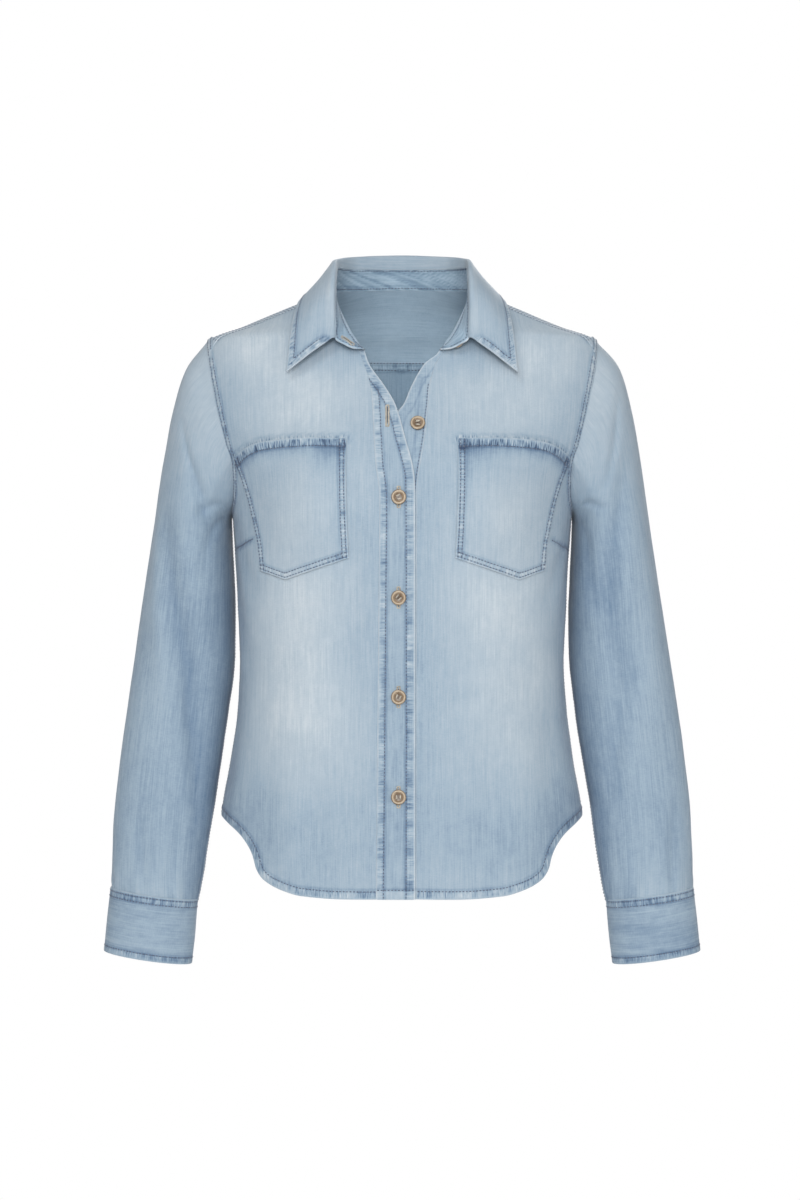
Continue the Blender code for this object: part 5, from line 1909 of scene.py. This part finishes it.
def denim_material():
    """Light-washed cotton twill: slubs along the warp, flecks of white weft, and a fine diagonal rib."""
    made, tree, shader = new_material("washed_denim", **DENIM)
    grain = linked(tree, "ShaderNodeUVMap")
    grain.uv_map = "grain"
    grain = grain.outputs[0]
    streak = stretched(tree, grain, 0.0012, 0.034, 3.0)
    wide = stretched(tree, grain, 0.0040, 0.11)
    fleck = stretched(tree, grain, 0.0035, 0.0009)
    place = tree.nodes.new("ShaderNodeTexCoord").outputs["Object"]
    wash = attribute(tree, "wash")
    for texture, amount in ((streak, STREAK), (wide, WIDE_STREAK), (fleck, FLECK)):
        wash = plus(tree, wash, texture, amount)
    for name, cells in STROKES:
        stroke = maths(tree, "MULTIPLY", stretched(tree, grain, *cells, 1.0), STROKE)
        wash = plus(tree, wash, attribute(tree, name), stroke)
    wash = plus(tree, wash, maths(tree, "SUBTRACT", noise(tree, place, 150.0, 3.0), 0.5), BLOTCH)
    outside, inside = (colour_ramp(tree, wash, stops) for stops in (DENIM_STOPS, INNER_STOPS))
    inner = attribute(tree, "inner")
    colour = linked(tree, "ShaderNodeMixRGB", Fac=inner, Color1=outside, Color2=inside).outputs["Color"]
    across, along, _ = linked(tree, "ShaderNodeSeparateXYZ", Vector=grain).outputs
    diagonal = plus(tree, across, along, TWILL_SLANT)
    rib = maths(tree, "SINE", maths(tree, "MULTIPLY", diagonal, math.tau / TWILL_PITCH))
    height = plus(tree, maths(tree, "MULTIPLY", rib, RIB_HEIGHT), streak, STREAK_HEIGHT)
    height = plus(tree, height, fleck, FLECK_HEIGHT)
    finished(tree, shader, colour, height, 0.6, TWILL_DEEP * 2)
    return made


def thread_material(name, dark, light):
    """Twisted cotton thread between two colours."""
    made, tree, shader = new_material(name, Roughness=0.75, Sheen_Weight=0.2)
    place = tree.nodes.new("ShaderNodeTexCoord").outputs["Object"]
    colour = colour_ramp(tree, noise(tree, place, 420.0, 2.0), [(0.3, dark), (0.7, light)])
    finished(tree, shader, colour, noise(tree, place, 2600.0, 1.0), 0.5, 0.0001)
    return made


def horn_material():
    """Mottled brown horn, tan on the rim and dark towards the middle."""
    made, tree, shader = new_material("horn")
    place = tree.nodes.new("ShaderNodeTexCoord").outputs["Object"]
    flat = linked(tree, "ShaderNodeVectorMath", i0=place, i1=(1, 1, 0))
    flat.operation = "MULTIPLY"
    reach = linked(tree, "ShaderNodeVectorMath", i0=flat.outputs[0])
    reach.operation = "LENGTH"
    cloud = noise(tree, place, 260.0, 4.0, Distortion=1.2)
    share = maths(tree, "DIVIDE", reach.outputs["Value"], BUTTON_RADIUS * MM)
    share = plus(tree, share, maths(tree, "SUBTRACT", cloud, 0.5), HORN_MOTTLE)
    tree.links.new(plus(tree, 0.24, cloud, 0.2), shader.inputs["Roughness"])
    colour = colour_ramp(tree, share, HORN_STOPS)
    finished(tree, shader, colour, noise(tree, place, 1400.0, 3.0), 0.15, 0.0001)
    return made


# Horn from a button's middle to its rim
HORN_STOPS = [
    (0.00, (70, 54, 42)),
    (0.34, (98, 80, 62)),
    (0.60, (130, 110, 88)),
    (0.80, (176, 159, 136)),
    (0.92, (160, 142, 118)),
    (1.00, (110, 90, 70)),
]
HORN_MOTTLE = 0.35


# The studio

CAMERA_PLACE, LENS = (-0.002, -2.6, -0.3), 78.0
FLOOR_Z, FLOOR_COLOUR = -1.0, (0.86, 0.86, 0.87, 1)
FLOOR_SIDES = (-1.5, 1.5, -1.6, 0.4)  # the floor ends before the camera would see it behind the shirt
WORLD_COLOUR, WORLD_LIGHT = (0.97, 0.985, 1.0, 1), 0.40
LAMP_AIM = (0, 0, -0.28)
Lamp = namedtuple("Lamp", "name place size power")
LAMPS = rows_of(
    Lamp,
    ("key", (-0.9, -2.4, 1.7), 1.6, 26.0),
    ("fill", (1.6, -2.2, 0.3), 1.8, 9.0),
    ("front", (0.0, -3.0, 0.35), 1.0, 48.0),
    ("back_light", (0.5, 2.7, 0.9), 1.8, 84.0),
)


def world():
    """White where the camera sees it, and soft light everywhere else."""
    made = bpy.data.worlds.new("studio")
    made.use_nodes = True
    tree = made.node_tree
    tree.nodes.clear()
    seen = linked(tree, "ShaderNodeBackground", Color=(1, 1, 1, 1), Strength=1.0).outputs[0]
    light = linked(tree, "ShaderNodeBackground", Color=WORLD_COLOUR, Strength=WORLD_LIGHT).outputs[0]
    direct = tree.nodes.new("ShaderNodeLightPath").outputs["Is Camera Ray"]
    both = linked(tree, "ShaderNodeMixShader", Fac=direct, i1=light, i2=seen)
    linked(tree, "ShaderNodeOutputWorld", Surface=both.outputs[0]).is_active_output = True
    return made


def studio():
    scene = bpy.context.scene
    scene.view_settings.view_transform = "Standard"
    scene.world = world()
    scene.camera = added("camera", bpy.data.cameras.new("camera"))
    scene.camera.data.lens = LENS
    scene.camera.location = CAMERA_PLACE
    scene.camera.rotation_euler = (math.pi / 2, 0, 0)
    for row in LAMPS:
        lamp = bpy.data.lights.new(row.name, "AREA")
        lamp.shape = "DISK"
        lamp.size = row.size
        lamp.energy = row.power
        holder = added(row.name, lamp)
        holder.location = row.place
        holder.rotation_euler = (Vector(LAMP_AIM) - Vector(row.place)).to_track_quat("-Z", "Y").to_euler()
    left, right, ahead, behind = FLOOR_SIDES
    corners = [(left, ahead), (right, ahead), (right, behind), (left, behind)]
    floor = bpy.data.meshes.new("floor")
    floor.from_pydata([(x, y, FLOOR_Z) for x, y in corners], [], [(0, 1, 2, 3)])
    floor.materials.append(new_material("pale_floor", Base_Color=FLOOR_COLOUR)[0])
    added("floor", floor)


# Putting it together


def declare(made, sheet, hangs_on):
    """Works out the piece's cut, as wide and long as its grid and as large as half its surface, but states it
    nowhere.
    """
    points = sheet.points * MM
    ends = points[:, :1] if sheet.closed else points[:, :0]
    round_it = np.concatenate([points, ends], axis=1)
    width, length = float(steps_along(round_it, 1).max()), float(steps_along(points, 0).max())
    area = min(sum(face.area for face in made.data.polygons) / 2, width * length)


# What each kind of piece hangs on, when it isn't the yoke
HANGS_ON = {"placket": "front", "pocket": "front", "cuff": "sleeve", "collar_leaf": "collar_stand"}


def held_by(name):
    """The pieces that one hangs on."""
    kind, _, label = name.rpartition("_")
    if kind in HANGS_ON:
        return [f"{HANGS_ON[kind]}_{label}"]
    return [HANGS_ON.get(name, "yoke")] if name != "yoke" else []


def shirt():
    sheets = [yoke_sheet(), back_sheet(), stand_sheet(), leaf_sheet()]
    sided = (front_sheet, placket_sheet, pocket_sheet, sleeve_sheet, cuff_sheet)
    sheets += [make(side, label) for side, label in SIDES for make in sided]
    denim = denim_material()
    stitches = []
    for sheet in sheets:
        made = build(sheet, denim)
        made.name = f"{sheet.name}_cloth"
        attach(made, "root")
        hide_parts(sheet.name)
        declare(made, sheet, held_by(sheet.name))
        stitches += stitches_of(sheet)
    holes, slit_shadows = [], []
    for hole in hole_places({sheet.name: sheet for sheet in sheets}):
        holes += buttonhole(*hole)
        slit_shadows.append(slit(*hole))
    pale_thread = thread_material("beige_thread", (150, 143, 132), (196, 188, 172))
    for name, parts, finish in (
        ("seam_stitches", stitches, thread_material("grey_blue_thread", (66, 76, 98), (104, 112, 128))),
        ("buttonhole_threads", holes, pale_thread),
        # dark lozenges in the buttonholes, painted shadow standing for their gaps
        ("buttonhole_slits", slit_shadows, thread_material("slit", (38, 44, 56), (58, 66, 80))),
        ("button_threads", make_buttons(horn_material()), pale_thread),
    ):
        made = joined(name, parts, finish)
        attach(made, "root")


studio()
shirt()
